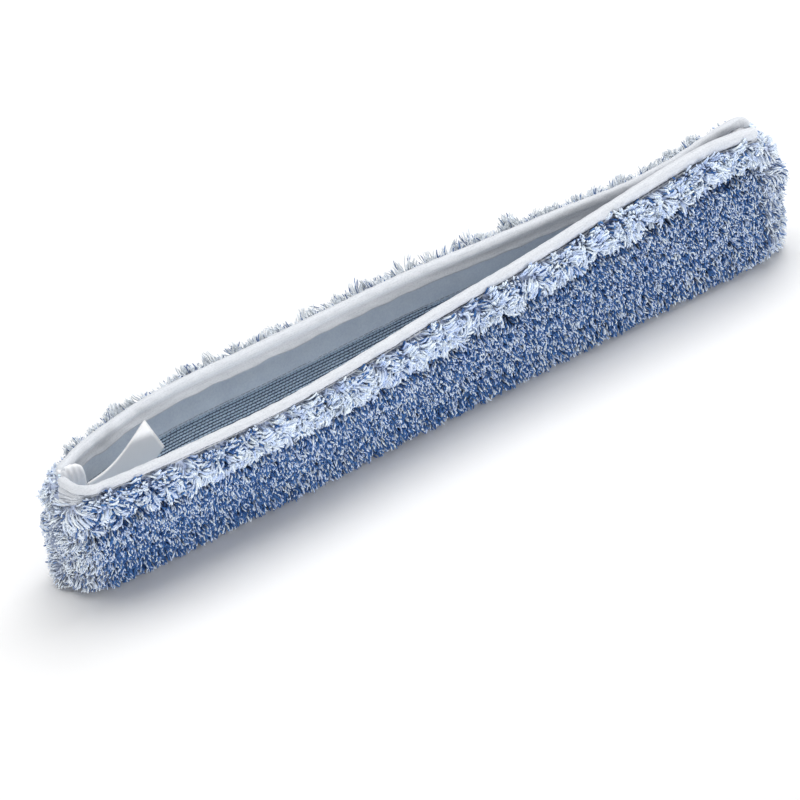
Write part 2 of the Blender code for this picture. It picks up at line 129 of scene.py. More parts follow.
REAR_MOUTH = [
    (217.5, 5.2, 75.4), (206.0, 5.5, 76.0), (190.0, 4.2, 74.8), (172.0, 3.9, 72.2),
    (146.0, 4.0, 70.6), (124.0, 4.8, 71.0), (100.0, 7.4, 71.2), (52.0, 12.6, 70.0),
    (4.0, 17.6, 69.2), (-48.0, 19.0, 68.6), (-98.0, 20.0, 68.0), (-134.0, 21.4, 67.6),
    (-162.0, 20.2, 67.4), (-190.0, 15.6, 67.2), (-206.0, 12.2, 67.0), (-217.0, 8.2, 66.8),
    (-225.6, 4.6, 66.6),
]
RIB_PITCH = 1.6
RIB_DEPTH = 0.36
RIB_TOP = 18.5
RIB_FOOT = 67.0
LOOP_PITCH = 2.3
LOOP_SHIFT = 0.37
KNIT_DARK = (0.010, 0.020, 0.080)
KNIT_LIGHT = (0.74, 0.88, 1.0)
SPAN_STEPS = 24


def closed_curve(points):
    """Closed centripetal spline through the points, as a dense polyline: each span is a cubic whose end
    slopes come from the two spans on either side, weighted by the root of their lengths."""
    pts = np.asarray(points, float)
    before, after, after2 = np.roll(pts, 1, 0), np.roll(pts, -1, 0), np.roll(pts, -2, 0)
    k0 = np.linalg.norm(pts - before, axis=1)[:, None] ** 0.5
    k1 = np.linalg.norm(after - pts, axis=1)[:, None] ** 0.5
    k2 = np.linalg.norm(after2 - after, axis=1)[:, None] ** 0.5
    slope_a = ((pts - before) / k0 - (after - before) / (k0 + k1) + (after - pts) / k1) * k1
    slope_b = ((after - pts) / k1 - (after2 - pts) / (k1 + k2) + (after2 - after) / k2) * k1
    s = np.linspace(0.0, 1.0, SPAN_STEPS, endpoint=False)[None, :, None]
    h00, h10 = 2 * s ** 3 - 3 * s ** 2 + 1, s ** 3 - 2 * s ** 2 + s
    h01, h11 = 3 * s ** 2 - 2 * s ** 3, s ** 3 - s ** 2
    curve = h00 * pts[:, None] + h10 * slope_a[:, None] + h01 * after[:, None] + h11 * slope_b[:, None]
    return curve.reshape(-1, 3)


def arc_length(line):
    """Length along a polyline up to each of its points."""
    return np.concatenate([[0.0], np.cumsum(np.linalg.norm(np.diff(line, axis=0), axis=1))])


def ring_halves(left, front, right, rear):
    """Closed curve cut at the two end seams: front and rear halves, each with its length fraction."""
    curve = closed_curve([left] + front + [right] + rear)
    cut = (len(front) + 1) * SPAN_STEPS
    halves = []
    for line in (curve[:cut + 1], np.vstack([curve[cut:], curve[:1]])[::-1]):
        arc = arc_length(line)
        halves.append((arc / arc[-1], line))
    return halves


mouth_ring = ring_halves(LEFT_SEAM, FRONT_MOUTH, RIGHT_SEAM, REAR_MOUTH)
fold_turn = np.radians([32.0, 65.0, 90.0])
fold_into = END_ROUND * (1.0 - np.cos(fold_turn))
fold_across = -TUB_HALF_WIDTH * np.sin(fold_turn)
fold_front = [(TUB_LEFT + x, y, TUB_FLOOR) for x, y in zip(fold_into, fold_across)]
fold_front += [(x, -TUB_HALF_WIDTH, TUB_FLOOR) for x in np.linspace(TUB_LEFT, TUB_RIGHT, 5)[1:-1]]
fold_front += [(TUB_RIGHT - x, y, TUB_FLOOR) for x, y in zip(fold_into[::-1], fold_across[::-1])]
fold_rear = [(x, -y, z) for x, y, z in reversed(fold_front)]
fold_ring = ring_halves((TUB_LEFT, 0.0, TUB_FLOOR), fold_front, (TUB_RIGHT, 0.0, TUB_FLOOR), fold_rear)


def on_ring(halves, t):
    """Point on a ring: t from 0 to 1 runs along the front to the right seam, 1 to 2 back along the rear."""
    t = np.mod(np.asarray(t, float), 2.0)
    front_at = np.stack([np.interp(t, halves[0][0], halves[0][1][:, k]) for k in range(3)], -1)
    rear_at = np.stack([np.interp(2.0 - t, halves[1][0], halves[1][1][:, k]) for k in range(3)], -1)
    return np.where((t <= 1.0)[..., None], front_at, rear_at)


def from_left(t):
    """Share of the length from the left seam to a place on either wall."""
    t = np.mod(t, 2.0)
    return np.where(t <= 1.0, t, 2.0 - t)


def wall_point(t, v):
    """Outer face of the knit: height rises evenly with v, and the lean to the mouth grows as a power of v."""
    t, v = np.broadcast_arrays(np.asarray(t, float), np.asarray(v, float))
    low, high = on_ring(fold_ring, t), on_ring(mouth_ring, t)
    out = low + (high - low) * (np.sign(v) * np.abs(v) ** LEAN_POWER)[..., None]
    out[..., 2] = low[..., 2] + (high[..., 2] - low[..., 2]) * v
    return out


def unit(vectors):
    """Vectors divided by their own lengths."""
    return vectors / np.maximum(np.linalg.norm(vectors, axis=-1, keepdims=True), 1e-12)


def wall_slant(t):
    """Length of the wall from the fold up to the mouth edge."""
    return np.linalg.norm(wall_point(t, 1.0) - wall_point(t, 0.0), axis=-1)


def wall_frame(t, d):
    """Point at distance d down the wall from the mouth edge, with its outward, upward and lengthwise ways."""
    t, d = np.broadcast_arrays(np.asarray(t, float), np.asarray(d, float))
    v = 1.0 - d / wall_slant(t)
    along = wall_point(t + 0.002, v) - wall_point(t - 0.002, v)
    up = unit(wall_point(t, v + 0.01) - wall_point(t, v - 0.01))
    out = unit(np.cross(along, up))
    return wall_point(t, v), out, up, unit(along)


def ripple(x, y, seed, waves=7):
    """Smooth seeded noise of about -1 to 1: a sum of sine waves of mixed direction and length."""
    rng = np.random.default_rng(seed)
    angle = rng.uniform(0.0, 2.0 * np.pi, waves)
    rate = rng.uniform(0.6, 1.9, waves)
    phase = rng.uniform(0.0, 2.0 * np.pi, waves)
    x, y = np.asarray(x, float)[..., None], np.asarray(y, float)[..., None]
    total = np.sin((x * np.cos(angle) + y * np.sin(angle)) * rate * 2.0 * np.pi + phase)
    return total.sum(-1) / np.sqrt(2.0 * waves)


def grid_quads(rows, cols, wrap=False):
    """Index array of the quads of a rows by cols grid of points, joined round in the columns if asked."""
    r = np.arange(rows - 1)[:, None] * cols
    c = np.arange(cols if wrap else cols - 1)[None, :]
    n = (c + 1) % cols
    return np.stack([r + c, r + n, r + cols + n, r + cols + c], -1).reshape(-1, 4)


def put(name, points, polygons, finish, stands_for=(), uv=None, tint=None, body="sleeve"):
    """Piece from points in millimetres and index arrays of polygons, with its finish, map and colours."""
    mesh = bpy.data.meshes.new(name)
    points = np.asarray(points, float).reshape(-1, 3) * MM
    loops = np.concatenate([p.ravel() for p in polygons]).astype(np.int32)
    sizes = np.concatenate([np.full(len(p), p.shape[1]) for p in polygons])
    mesh.vertices.add(len(points))
    mesh.vertices.foreach_set("co", points.ravel())
    mesh.loops.add(len(loops))
    mesh.loops.foreach_set("vertex_index", loops)
    mesh.polygons.add(len(sizes))
    mesh.polygons.foreach_set("loop_start", np.concatenate([[0], np.cumsum(sizes)[:-1]]).astype(np.int32))
    mesh.polygons.foreach_set("use_smooth", np.ones(len(sizes), bool))
    if uv is not None:
        layer = mesh.uv_layers.new(name="cloth")
        layer.data.foreach_set("uv", np.asarray(uv, float).reshape(-1, 2)[loops].ravel())
    if tint is not None:
        colours = mesh.color_attributes.new("yarn", "FLOAT_COLOR", "POINT")
        full = np.concatenate([tint, np.ones((len(tint), 1))], 1)
        colours.data.foreach_set("color", full.ravel())
    mesh.update(calc_edges=True)
    mesh.validate()
    mesh.materials.append(finish)
    piece = bpy.data.objects.new(name, mesh)
    bpy.context.scene.collection.objects.link(piece)
    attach(piece, body)
    if stands_for:
        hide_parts(*stands_for)
    return piece


def new_finish(name, rough, sheen=0.0):
    """Principled material for cloth, with its node tree and shader."""
    finish = bpy.data.materials.new(name)
    finish.use_nodes = True
    shader = finish.node_tree.nodes["Principled BSDF"]
    shader.inputs["Roughness"].default_value = rough
    shader.inputs["Specular IOR Level"].default_value = 0.25
    shader.inputs["Sheen Weight"].default_value = sheen
    return finish, finish.node_tree, shader


def node(tree, kind, **settings):
    """New node with its properties set."""
    made = tree.nodes.new(kind)
    for key, value in settings.items():
        setattr(made, key, value)
    return made


def maths(operation, a, b=None):
    """Math node in the tree of its first input, an output; the second is another output or a number."""
    made = node(a.id_data, "ShaderNodeMath", operation=operation)
    a.id_data.links.new(a, made.inputs[0])
    if hasattr(b, "is_linked"):
        a.id_data.links.new(b, made.inputs[1])
    elif b is not None:
        made.inputs[1].default_value = b
    return made.outputs[0]


def times(a, b):
    """Product of two inputs."""
    return maths("MULTIPLY", a, b)


def plus(a, b):
    """Sum of two inputs."""
    return maths("ADD", a, b)


def half_wave(turn):
    """Half sine over each whole turn of the input, from 0 up to 1 and back."""
    return maths("SINE", times(maths("FRACT", turn), np.pi))


def wave(value, pitch):
    """Sine of the given pitch, from -1 to 1."""
    return maths("SINE", times(value, 2.0 * np.pi / pitch))


def noise(tree, scale, detail=2.0, vector=None):
    """Noise of a scale, on the object's own coordinates unless another vector is given."""
    made = node(tree, "ShaderNodeTexNoise")
    made.inputs["Scale"].default_value = scale
    made.inputs["Detail"].default_value = detail
    if vector is None:
        vector = node(tree, "ShaderNodeTexCoord").outputs["Object"]
    tree.links.new(vector, made.inputs["Vector"])
    return made.outputs["Fac"]


def cloth_axes(tree):
    """The piece's own cloth map, and its lengthwise and crosswise parts in millimetres."""
    cloth = node(tree, "ShaderNodeUVMap", uv_map="cloth").outputs["UV"]
    parts = node(tree, "ShaderNodeSeparateXYZ")
    tree.links.new(cloth, parts.inputs[0])
    return cloth, parts.outputs["X"], parts.outputs["Y"]


def paint(shader, factor, dark, light):
    """Base colour that runs from dark to light with the factor."""
    tree = shader.id_data
    mix = node(tree, "ShaderNodeMix", data_type="RGBA")
    tree.links.new(factor, mix.inputs[0])
    mix.inputs[6].default_value = (*dark, 1.0)
    mix.inputs[7].default_value = (*light, 1.0)
    tree.links.new(mix.outputs[2], shader.inputs["Base Color"])


def raise_bump(shader, height, strength, distance):
    """Bump of the height onto the shader's normal."""
    tree = shader.id_data
    bump = node(tree, "ShaderNodeBump")
    bump.inputs["Strength"].default_value = strength
    bump.inputs["Distance"].default_value = distance
    tree.links.new(height, bump.inputs["Height"])
    tree.links.new(bump.outputs["Normal"], shader.inputs["Normal"])


knit_finish, tree, shader = new_finish("ground_knit", 0.9, 0.1)
lengthwise, crosswise = cloth_axes(tree)[1:]
row_turn = times(crosswise, 1.0 / RIB_PITCH)
row_shape = maths("POWER", half_wave(row_turn), 2.4)
row_shift = times(maths("FLOOR", row_turn), LOOP_SHIFT)
loop_turn = plus(times(lengthwise, 1.0 / LOOP_PITCH), row_shift)
loop_turn = plus(loop_turn, times(noise(tree, 70.0), 3.0))
dash = plus(times(maths("POWER", half_wave(loop_turn), 0.9), 0.95), 0.10)
loop_height = times(row_shape, dash)
loop_light = times(loop_height, times(noise(tree, 520.0), 5.6))
paint(shader, loop_light, KNIT_DARK, KNIT_LIGHT)
raise_bump(shader, loop_height, 0.6, 0.0005)

end_turn = np.array([0.0, 0.0045, 0.009, 0.0135, 0.018, 0.0225, 0.027, 0.034, 0.042, 0.053])
half_turn = np.concatenate([end_turn, np.linspace(0.064, 0.936, 96), 1.0 - end_turn[::-1]])
ring_turn = np.concatenate([half_turn, 2.0 - half_turn[-2:0:-1]])
ring_count = len(ring_turn)
half_count = len(half_turn) - 1


def tub_polygons(levels):
    """Faces of a stack of rings round the tub, closed below and above by a strip across from side to side."""
    top = (levels - 1) * ring_count
    k = np.arange(1, half_count - 1)
    strip = np.stack([k, k + 1, ring_count - k - 1, ring_count - k], -1)
    ends = np.array([[0, 1, ring_count - 1], [half_count - 1, half_count, half_count + 1]])
    return [grid_quads(levels, ring_count, wrap=True), strip[:, ::-1], strip + top, ends[:, ::-1], ends + top]


slant = wall_slant(ring_turn)
inner_depth = np.concatenate([np.linspace(0.6, 17.5, 7), np.arange(RIB_TOP, RIB_FOOT, RIB_PITCH / 4.0)])
inner_depth = inner_depth[:, None] / inner_depth[-1] * (slant - 0.2)
point, out = wall_frame(ring_turn, inner_depth)[:2]
rib = RIB_DEPTH * np.abs(np.cos(np.pi * inner_depth / RIB_PITCH)) * (inner_depth > RIB_TOP)
inner_rows = point - out * (FABRIC_T - rib)[..., None]
outer_depth = np.linspace(1.0, 0.01, 7)[:, None] * slant
outer_rows = wall_frame(ring_turn, outer_depth)[0]
rows = np.concatenate([outer_rows, inner_rows])
knit_faces = tub_polygons(len(rows))
knit_run = np.broadcast_to(from_left(ring_turn) * WALL_LENGTH, rows.shape[:2])
knit_uv = np.stack([knit_run, np.concatenate([outer_depth, inner_depth])], -1)
knit = put("ground_knit", rows, knit_faces, knit_finish, ["ground_fabric"], uv=knit_uv)
floor_corner = knit_faces[2].ravel()
floor_start = knit_faces[0].size + knit_faces[1].size
cloth_layer = knit.data.uv_layers["cloth"].data
corner_uv = np.empty(2 * len(cloth_layer), np.float32)
cloth_layer.foreach_get("uv", corner_uv)
floor_uv = rows.reshape(-1, 3)[floor_corner, :2]
corner_uv[2 * floor_start:2 * (floor_start + len(floor_corner))] = floor_uv.ravel()
cloth_layer.foreach_set("uv", corner_uv)

# Pile: cut microfibre yarn tufted through the knit, blue and white mixed, about ten millimetres long.
# Below the mouth it hangs in a shaggy roll with a crease under it, and then stands as an even field.
HEM = 0.9
FLARE = 12.0
FLARE_START = 2.748
FLARE_RUN = 19.0
FLARE_REAR = 1.6
PILE_DEPTH = 9.2
EVEN_PILE = (PILE_DEPTH, PILE_DEPTH)
LEFT_PILE = (12.0, 8.4)
RIGHT_PILE = (13.5, 11.5)
LEFT_END = 0.034
RIGHT_END = 0.972
CREASE_LEFT = 22.2
CREASE_RIGHT = 16.3
CREASE_RUN = 6.5
CREASE_MARGIN = 0.8
TOP_GAP = 0.15
TOP_SLOPE = 2.6
PUFF = 8.5
ROLL_LOCK = 3.7
FIELD_LOCK = 2.7
LOCK_PULL = 3.0
ROLL_RADIUS = 0.58
FIELD_RADIUS = 0.42
YARN_SPACING = 0.84
ROLL_SPAN = (3.2, 28.0)
FIELD_SPAN = (12.0, 75.0)
ROLL_REACH = 6.6
FIELD_REACH = 6.6
CREASE_REACH = 1.2
FOOT = 11.0
UNDER = 6.0
FOOT_TURN = np.radians(43.0)
UNDER_TURN = np.radians(47.0)
LEAST_Z = 0.05
LEAST_SPINE_Z = 0.75
CURL_STEPS = [[0.0, 0.46, 0.76, 0.95, 1.0]]
EVEN_STEPS = [[0.0, 0.34, 0.68, 0.94, 1.0]]
SWELL = np.array([0.75, 1.0, 1.1, 0.85])[None, :, None]
BED_STEP = 2.0
BED_ROWS = 32
BED_FOOT = 12.0
BED_CLEAR = 0.15
LEVEL = np.array([1.0, 1.0, 0.0])
DOWN = np.array([0.0, 0.0, -1.0])
WHITE_YARN = np.array([0.86, 0.94, 1.00])
LILAC_YARN = np.array([0.53, 0.66, 0.95])
BLUE_YARN = np.array([0.018, 0.090, 0.300])
PALE_BLUE_YARN = np.array([0.070, 0.200, 0.480])
# Root and bed colours are painted shade: the darker tones each end rises from and the matted bed takes,
# standing for the shade deep in the pile; the palest is used where little shade is painted.
FIELD_ROOT_SHADE = np.array([0.006, 0.024, 0.080])
ROLL_ROOT_SHADE = np.array([0.055, 0.110, 0.260])
FIELD_BED_SHADE = np.array([0.020, 0.050, 0.140])
ROLL_BED_SHADE = np.array([0.340, 0.440, 0.680])
PALE_BED_SHADE = np.array([0.640, 0.710, 0.880])


def fade(x, start, run):
    """Straight ramp from 0 at the start to 1 a run further on, or before it where the run is negative."""
    return np.clip((x - start) / run, 0.0, 1.0)


def ease(x):
    """Smooth step of a value from 0 to 1."""
    return x * x * (3.0 - 2.0 * x)


def bell(x, width):
    """Bell of height one: e to the power of minus the square of x over its width."""
    return np.exp(-(x / width) ** 2)


def past_seam(t):
    """Distance along the wall from the left seam: positive on the front wall, negative on the rear."""
    return (np.mod(t + 1.0, 2.0) - 1.0) * WALL_LENGTH


def stitch_depth(t):
    """Depth of the tape's stitch line: close under the edge at the left, deeper to the right."""
    return 3.1 + 2.3 * fade(from_left(t), 0.0, 0.7)


def hem_depth(t):
    """Depth of the tape's outer hem, below which the pile shows: pulled down at the front left corner."""
    gap = past_seam(t)
    pull = FLARE * (1.0 - fade(gap, FLARE_START, FLARE_RUN)) ** 1.3 * bell(np.minimum(gap, 0.0), FLARE_REAR)
    return stitch_depth(t) + HEM + pull


def crease_depth(t):
    """Depth of the crease below the mouth: shallower towards the right end, and wandering."""
    level = CREASE_LEFT + (CREASE_RIGHT - CREASE_LEFT) * from_left(t)
    run = t * WALL_LENGTH
    return level + 1.7 * ripple(run / 38.0, 0.0, 11) + 1.1 * ripple(run / 11.0, 0.0, 12)


def nearest_point(x, y, seed):
    """Nearest of a field of scattered points, one to each unit square: the way to it and its four draws."""
    draws = np.random.default_rng(seed).uniform(0.0, 1.0, (4093, 4))
    best = np.full(x.shape, np.inf)
    offset = np.zeros(x.shape + (2,))
    drawn = np.zeros(x.shape + (4,))
    for i in (-1, 0, 1):
        for j in (-1, 0, 1):
            cell_x, cell_y = np.floor(x) + i, np.floor(y) + j
            draw = draws[np.mod(cell_x * 73 + cell_y * 1511, 4093).astype(int)]
            gap_x = cell_x + 0.12 + 0.76 * draw[..., 0] - x
            gap_y = cell_y + 0.12 + 0.76 * draw[..., 1] - y
            far = gap_x ** 2 + gap_y ** 2
            nearer = far < best
            best = np.where(nearer, far, best)
            offset[nearer] = np.stack([gap_x, gap_y], -1)[nearer]
            drawn[nearer] = draw[nearer]
    return offset, drawn


def near_end(t):
    """One at the two end seams, falling to nothing some fifteen millimetres from them."""
    run = from_left(t)
    return np.maximum(bell(run, 0.032), bell(1.0 - run, 0.026))


def roll_part(d, hem, crease):
    """Way down the roll, from 0 at the hem to 1 at the crease."""
    return fade(d, hem, np.maximum(crease - hem, 4.0))


def lumps(t, d, pile):
    """Height of the matted yarn over the knit, with the pile's own depth there, the way from the middle of
    the lump, how near that middle is, and the lump's own draw. Under the mouth it is a rounded roll of
    separate lumps, drawn in at the crease; below that an even bed, lumpy only round the ends. The pile is
    given at the mouth and at the floor."""
    to_puff, puff = nearest_point(t * WALL_LENGTH / PUFF, d / PUFF, 22)
    own = puff[..., 2]
    middle = 1.0 - np.clip((to_puff ** 2).sum(-1) / 0.42, 0.0, 1.0)
    hem, crease = hem_depth(t), crease_depth(t)
    arch = np.sin(np.pi * (0.27 + 0.55 * roll_part(d, hem, crease))) ** 0.7
    deep = pile[0] + (pile[1] - pile[0]) * fade(d, 14.0, 36.0)
    roll = 0.60 * arch * (0.40 + (0.45 + 0.40 * own) * middle)
    field = (0.10 + 0.34 * ease(fade(d, crease, CREASE_RUN))) * (1.0 + near_end(t) * (1.2 * middle - 0.15))
    slope = np.clip((d - hem + TOP_GAP) / TOP_SLOPE, 0.06, 1.0)
    return deep * np.where(d < crease, roll, field) * slope, deep, -to_puff, middle, own


def yarn_look(name, sheen):
    """Finish of the yarn: the colour of each end, broken by fine fibres, with a soft sheen."""
    finish, tree, shader = new_finish(name, 0.8, sheen)
    shader.inputs["Sheen Roughness"].default_value = 0.6
    yarn_colour = node(tree, "ShaderNodeVertexColor", layer_name="yarn")
    fibre = noise(tree, 2600.0, 3.0)
    streak = node(tree, "ShaderNodeMapRange")
    streak.inputs["To Min"].default_value = 0.80
    streak.inputs["To Max"].default_value = 1.16
    tree.links.new(fibre, streak.inputs["Value"])
    shaded = node(tree, "ShaderNodeMix", data_type="RGBA", blend_type="MULTIPLY")
    shaded.inputs[0].default_value = 1.0
    tree.links.new(yarn_colour.outputs["Color"], shaded.inputs[6])
    tree.links.new(streak.outputs["Result"], shaded.inputs[7])
    tree.links.new(shaded.outputs[2], shader.inputs["Base Color"])
    raise_bump(shader, fibre, 0.35, 0.0002)
    return finish


yarn_finish = yarn_look("pile_yarn", 0.10)
fluff_finish = yarn_look("pile_fluff", 0.60)


def yarn_tubes(name, root, start, finish, bend, reach, drift, beat, girth, shade, root_shade, colour, rng,
               look=yarn_finish):
    """Yarn ends as blunt three-sided tubes along C(s) = root + L (start (s - h) + finish h) + drift s, where
    h = max(s - bend, 0)^2 / (2 - 2 bend): straight at first, then turning evenly to the finish direction at
    the tip, with a small wiggle. Their colour comes up from a darker root colour over the shade length:
    painted shade for the depth of the pile."""
    count = len(root)
    s = np.where(bend > 0.0, CURL_STEPS, EVEN_STEPS)[..., None]
    h = np.maximum(s - bend[..., None], 0.0) ** 2 / (2.0 - 2.0 * bend[..., None])
    spine = root[:, None] + reach[:, None] * (start[:, None] * (s - h) + finish[:, None] * h)
    spine = spine + drift[:, None] * s
    side = unit(np.cross(start, np.array([0.21, 0.35, 0.91])))
    wiggle = 0.08 * reach[:, None] * np.sin(2.0 * np.pi * (0.9 * s + beat[:, None])) * s
    spine = spine + side[:, None] * wiggle[..., :1] + np.cross(start, side)[:, None] * wiggle[..., 1:]
    spine[..., 2] = np.maximum(spine[..., 2], LEAST_SPINE_Z)
    tangent = unit(np.gradient(spine, axis=1))
    across = unit(np.cross(tangent, unit(side + 0.4 * start)[:, None]))
    over = np.cross(tangent, across)
    girth = girth[:, :, None] * rng.uniform(0.8, 1.2, (count, 1, 1)) * SWELL
    turn = rng.uniform(0.0, 2.0 * np.pi, (count, 1, 1)) + np.arange(3)[None, None] * (2.0 * np.pi / 3.0)
    ring = spine[:, :4, None] + girth[..., None] * (across[:, :4, None] * np.cos(turn)[..., None]
                                                    + over[:, :4, None] * np.sin(turn)[..., None])
    points = np.concatenate([ring.reshape(count, 12, 3), spine[:, 4:5]], 1)
    points[..., 2] = np.maximum(points[..., 2], LEAST_Z)
    first = np.arange(count)[:, None, None] * 13
    caps = np.array([[9, 10, 12], [10, 11, 12], [11, 9, 12], [2, 1, 0]])
    polygons = [(grid_quads(4, 3, wrap=True) + first).reshape(-1, 4), (caps + first).reshape(-1, 3)]
    # Painted shade: the colour runs up from the darker root colour to the end's own colour over the shade
    # length.
    clear = ease(np.clip(s * reach[:, None] / shade[:, None], 0.0, 1.0))
    clear = np.repeat(0.06 + 0.94 * clear, [3, 3, 3, 3, 1], axis=1)
    tint = (root_shade[:, None] + (colour - root_shade)[:, None] * clear).reshape(-1, 3)
    return put(name, points, polygons, look, tint=tint)


def yarn_colours(chance, order, rng, lilac=1.0):
    """Colour of each end: white running to lilac, or deep blue to paler blue, evenly mixed by the order.
    Where the lilac share is cut, the white ends are also whitened as painted light.
    """
    count = len(chance)
    blend = rng.uniform(0.0, 1.0, (count, 1)) ** 1.5
    pale = WHITE_YARN + (LILAC_YARN - WHITE_YARN) * blend * lilac
    # Painted light: the white ends are whitened where the lilac share is cut.
    pale = pale + (1.0 - pale) * 0.4 * (1.0 - lilac)
    deep = BLUE_YARN + (PALE_BLUE_YARN - BLUE_YARN) * blend
    is_white = (np.mod(order + rng.normal(0.0, 0.08, count), 1.0) < chance)[:, None]
    return np.where(is_white, pale, deep) * rng.uniform(0.90, 1.06, (count, 1))


def scatter(t_range, d_range, spacing, rng):
    """Jittered rows of roots over a part of the wall: places along the ring, depths and order of colours."""
    rows = int((d_range[1] - d_range[0]) / spacing)
    cols = int((t_range[1] - t_range[0]) * WALL_LENGTH / spacing)
    col, row = np.meshgrid(np.arange(cols), np.arange(rows))
    step = (t_range[1] - t_range[0]) / cols
    t = t_range[0] + (col + 0.5 * (row % 2) + rng.uniform(0.05, 0.95, col.shape)) * step
    d = d_range[0] + (row + rng.uniform(0.05, 0.95, col.shape)) * spacing
    order = np.mod(0.7549 * col + 0.5698 * row, 1.0)
    return np.stack([np.clip(t, *t_range).ravel(), d.ravel(), order.ravel()])


def white_share(t, d):
    """Share of white ends: high in the roll under the mouth, under half in the field and fewer lower down it
    towards the left as painted shade, most round the ends.
    """
    t = np.mod(t, 2.0)
    run = from_left(t)
    crease = crease_depth(t)
    front_roll = 0.38 + 0.41 * fade(run, 0.0, 0.23) + 0.04 * run
    # Fewer white ends lower in the field, more so to the left: painted shade.
    field = 0.44 + 0.04 * run - 0.17 * fade(d, crease, 40.0) * (1.0 - run)
    share = np.where(d < crease, np.where(t > 1.0, 0.84, front_roll), field)
    share = share + 0.04 * ripple(run * WALL_LENGTH / 16.0, d / 14.0, 31)
    share = share + (0.92 - share) * near_end(t)
    return share + (0.98 - share) * bell(1.0 - run, 0.05) * bell(d - HEM, 18.0)


def tufts(name, t_range, seed, pile=EVEN_PILE, roll_gain=1.0, field_gain=1.0, rise=0.0, look=yarn_finish):
    """Yarn ends over one part of the wall, rooted in the matted yarn. In the roll they spread from the middle
    of each lump and curl over, upwards where they rise; in the field they stand out evenly with hooked tips;
    at the foot they fan down to the floor. The gains widen the spacing and thicken the yarn."""
    rng = np.random.default_rng(seed)
    in_roll = scatter(t_range, ROLL_SPAN, YARN_SPACING * roll_gain, rng)
    in_field = scatter(t_range, FIELD_SPAN, YARN_SPACING * field_gain, rng)
    t, d = in_roll[:2]
    in_roll = in_roll[:, (d < crease_depth(t)) & (d > hem_depth(t) - TOP_GAP)]
    t, d = in_field[:2]
    in_field = in_field[:, d > crease_depth(t) + CREASE_MARGIN]
    roots = np.concatenate([in_roll, in_field], 1)
    t, d, order = roots[:, roots[1] < wall_slant(roots[0]) + UNDER]
    slant = wall_slant(t)
    below = np.maximum(d - slant, 0.0)[:, None]
    d = np.minimum(d, slant - 0.05)
    root, out, up, along = wall_frame(t, d)
    crease = crease_depth(t)
    lock_size = np.where(d < crease, ROLL_LOCK, FIELD_LOCK)
    to_lock, lock = nearest_point(t * WALL_LENGTH / lock_size, d / lock_size, 21)
    lift, deep, spread, bulge, own = [a.reshape(len(t), -1) for a in lumps(t, d, pile)]
    aside, upward = spread[:, :1], spread[:, 1:]
    turn_side, turn_up = ((lock[:, 2:] - 0.5) * 2.0).T[..., None]
    draw_a, draw_b, draw_c, draw_d = rng.normal(0.0, 1.0, (len(t), 4)).T[..., None]
    place, depth = t[:, None], d[:, None]
    roll = depth < crease[:, None]
    q = roll_part(d, hem_depth(t), crease)[:, None]
    past = fade(d, crease, CREASE_RUN)[:, None]
    foot = fade(d, slant - FOOT, FOOT)[:, None]
    ends = near_end(place)
    seam_gap = past_seam(place)

    side = 1.2 * aside + 0.60 * turn_side + 0.18 * draw_a
    climb = 0.14 - 0.77 * q - 1.1 * upward + 0.45 * turn_up + rise * (0.71 + 0.27 * q) + 0.15 * draw_b
    tip_side = turn_side + 0.6 * aside + 0.3 * draw_c
    tip_climb = 0.05 - 0.85 * q + 0.75 * turn_up - 0.5 * upward + rise * (0.6 + 0.55 * q) + 0.3 * draw_d
    roll_start = out * 0.85 + up * climb + along * side
    roll_finish = out * (0.15 + 0.45 * rise) + up * tip_climb + along * tip_side
    side = 0.12 * turn_side + 0.10 * draw_a + 0.8 * ends * aside
    climb = 0.12 * turn_up + 0.10 * draw_b - 0.8 * ends * upward
    tip_side = -0.60 + (0.60 + 0.6 * ends) * turn_side + 0.30 * draw_c
    tip_climb = -0.45 + (0.50 + 0.6 * ends) * turn_up + 0.30 * draw_d
    level_out = unit(out * LEVEL)
    steep = FOOT_TURN * foot + UNDER_TURN * below / UNDER
    fan = level_out * np.cos(steep) + DOWN * np.sin(steep)
    field_start = unit(out + up * climb + along * side)
    field_start = field_start * (1.0 - foot) + unit(fan + along * side) * foot
    field_finish = unit(out * (0.75 - 0.4 * ends) + up * tip_climb + along * tip_side)
    field_finish = field_finish * (1.0 - 0.7 * foot) + unit(fan + along * tip_side) * 0.7 * foot
    parting = 0.5 * np.tanh(seam_gap / 2.0) * bell(seam_gap, 8.0) * fade(depth, 12.0, 6.0)
    start = unit(unit(np.where(roll, roll_start, field_start)) + along * parting)
    finish = unit(np.where(roll, roll_finish, field_finish))

    mid_rear = np.sqrt(np.sin(np.pi * np.clip(place - 1.0, 0.0, 1.0)))
    roll_reach = (ROLL_REACH + q) * (0.80 + 0.35 * bulge)
    roll_reach = roll_reach * (1.0 + rise * (-0.68 + 1.04 * mid_rear + 0.45 * own))
    field_reach = (CREASE_REACH + FIELD_REACH * ease(past)) * (0.97 + 0.08 * bulge) * (1.0 - 0.25 * ends)
    vary = (0.90 + 0.20 * lock[:, :1]) * rng.uniform(0.94, 1.06, (len(t), 1))
    reach = np.where(roll, roll_reach, field_reach) * vary * deep / PILE_DEPTH
    splay = (0.14 + 0.20 * bell(place - 0.32, 0.16)) * (1.0 - ends) - 0.10 * ends
    reach = reach * (1.0 + foot * splay * (place < 1.0))
    groove = bell(seam_gap, 2.6) * fade(depth, 58.0, -14.0) * (0.25 + 0.75 * fade(depth, 10.0, 6.0))
    right_top = fade(depth, 18.0, -8.0) * bell(1.0 - place, 0.03)
    reach = reach * (1.0 - 0.72 * groove) * (1.0 - 0.50 * right_top)
    rear_corner = bell(np.minimum(seam_gap + 4.0, 0.0), 16.0) * fade(seam_gap, 0.0, -4.0)
    reach = reach * (1.0 - 0.55 * rear_corner * fade(depth, 12.0, -5.0))
    reach = reach * (1.0 - 0.20 * rear_corner * fade(depth, 24.0, -6.0))

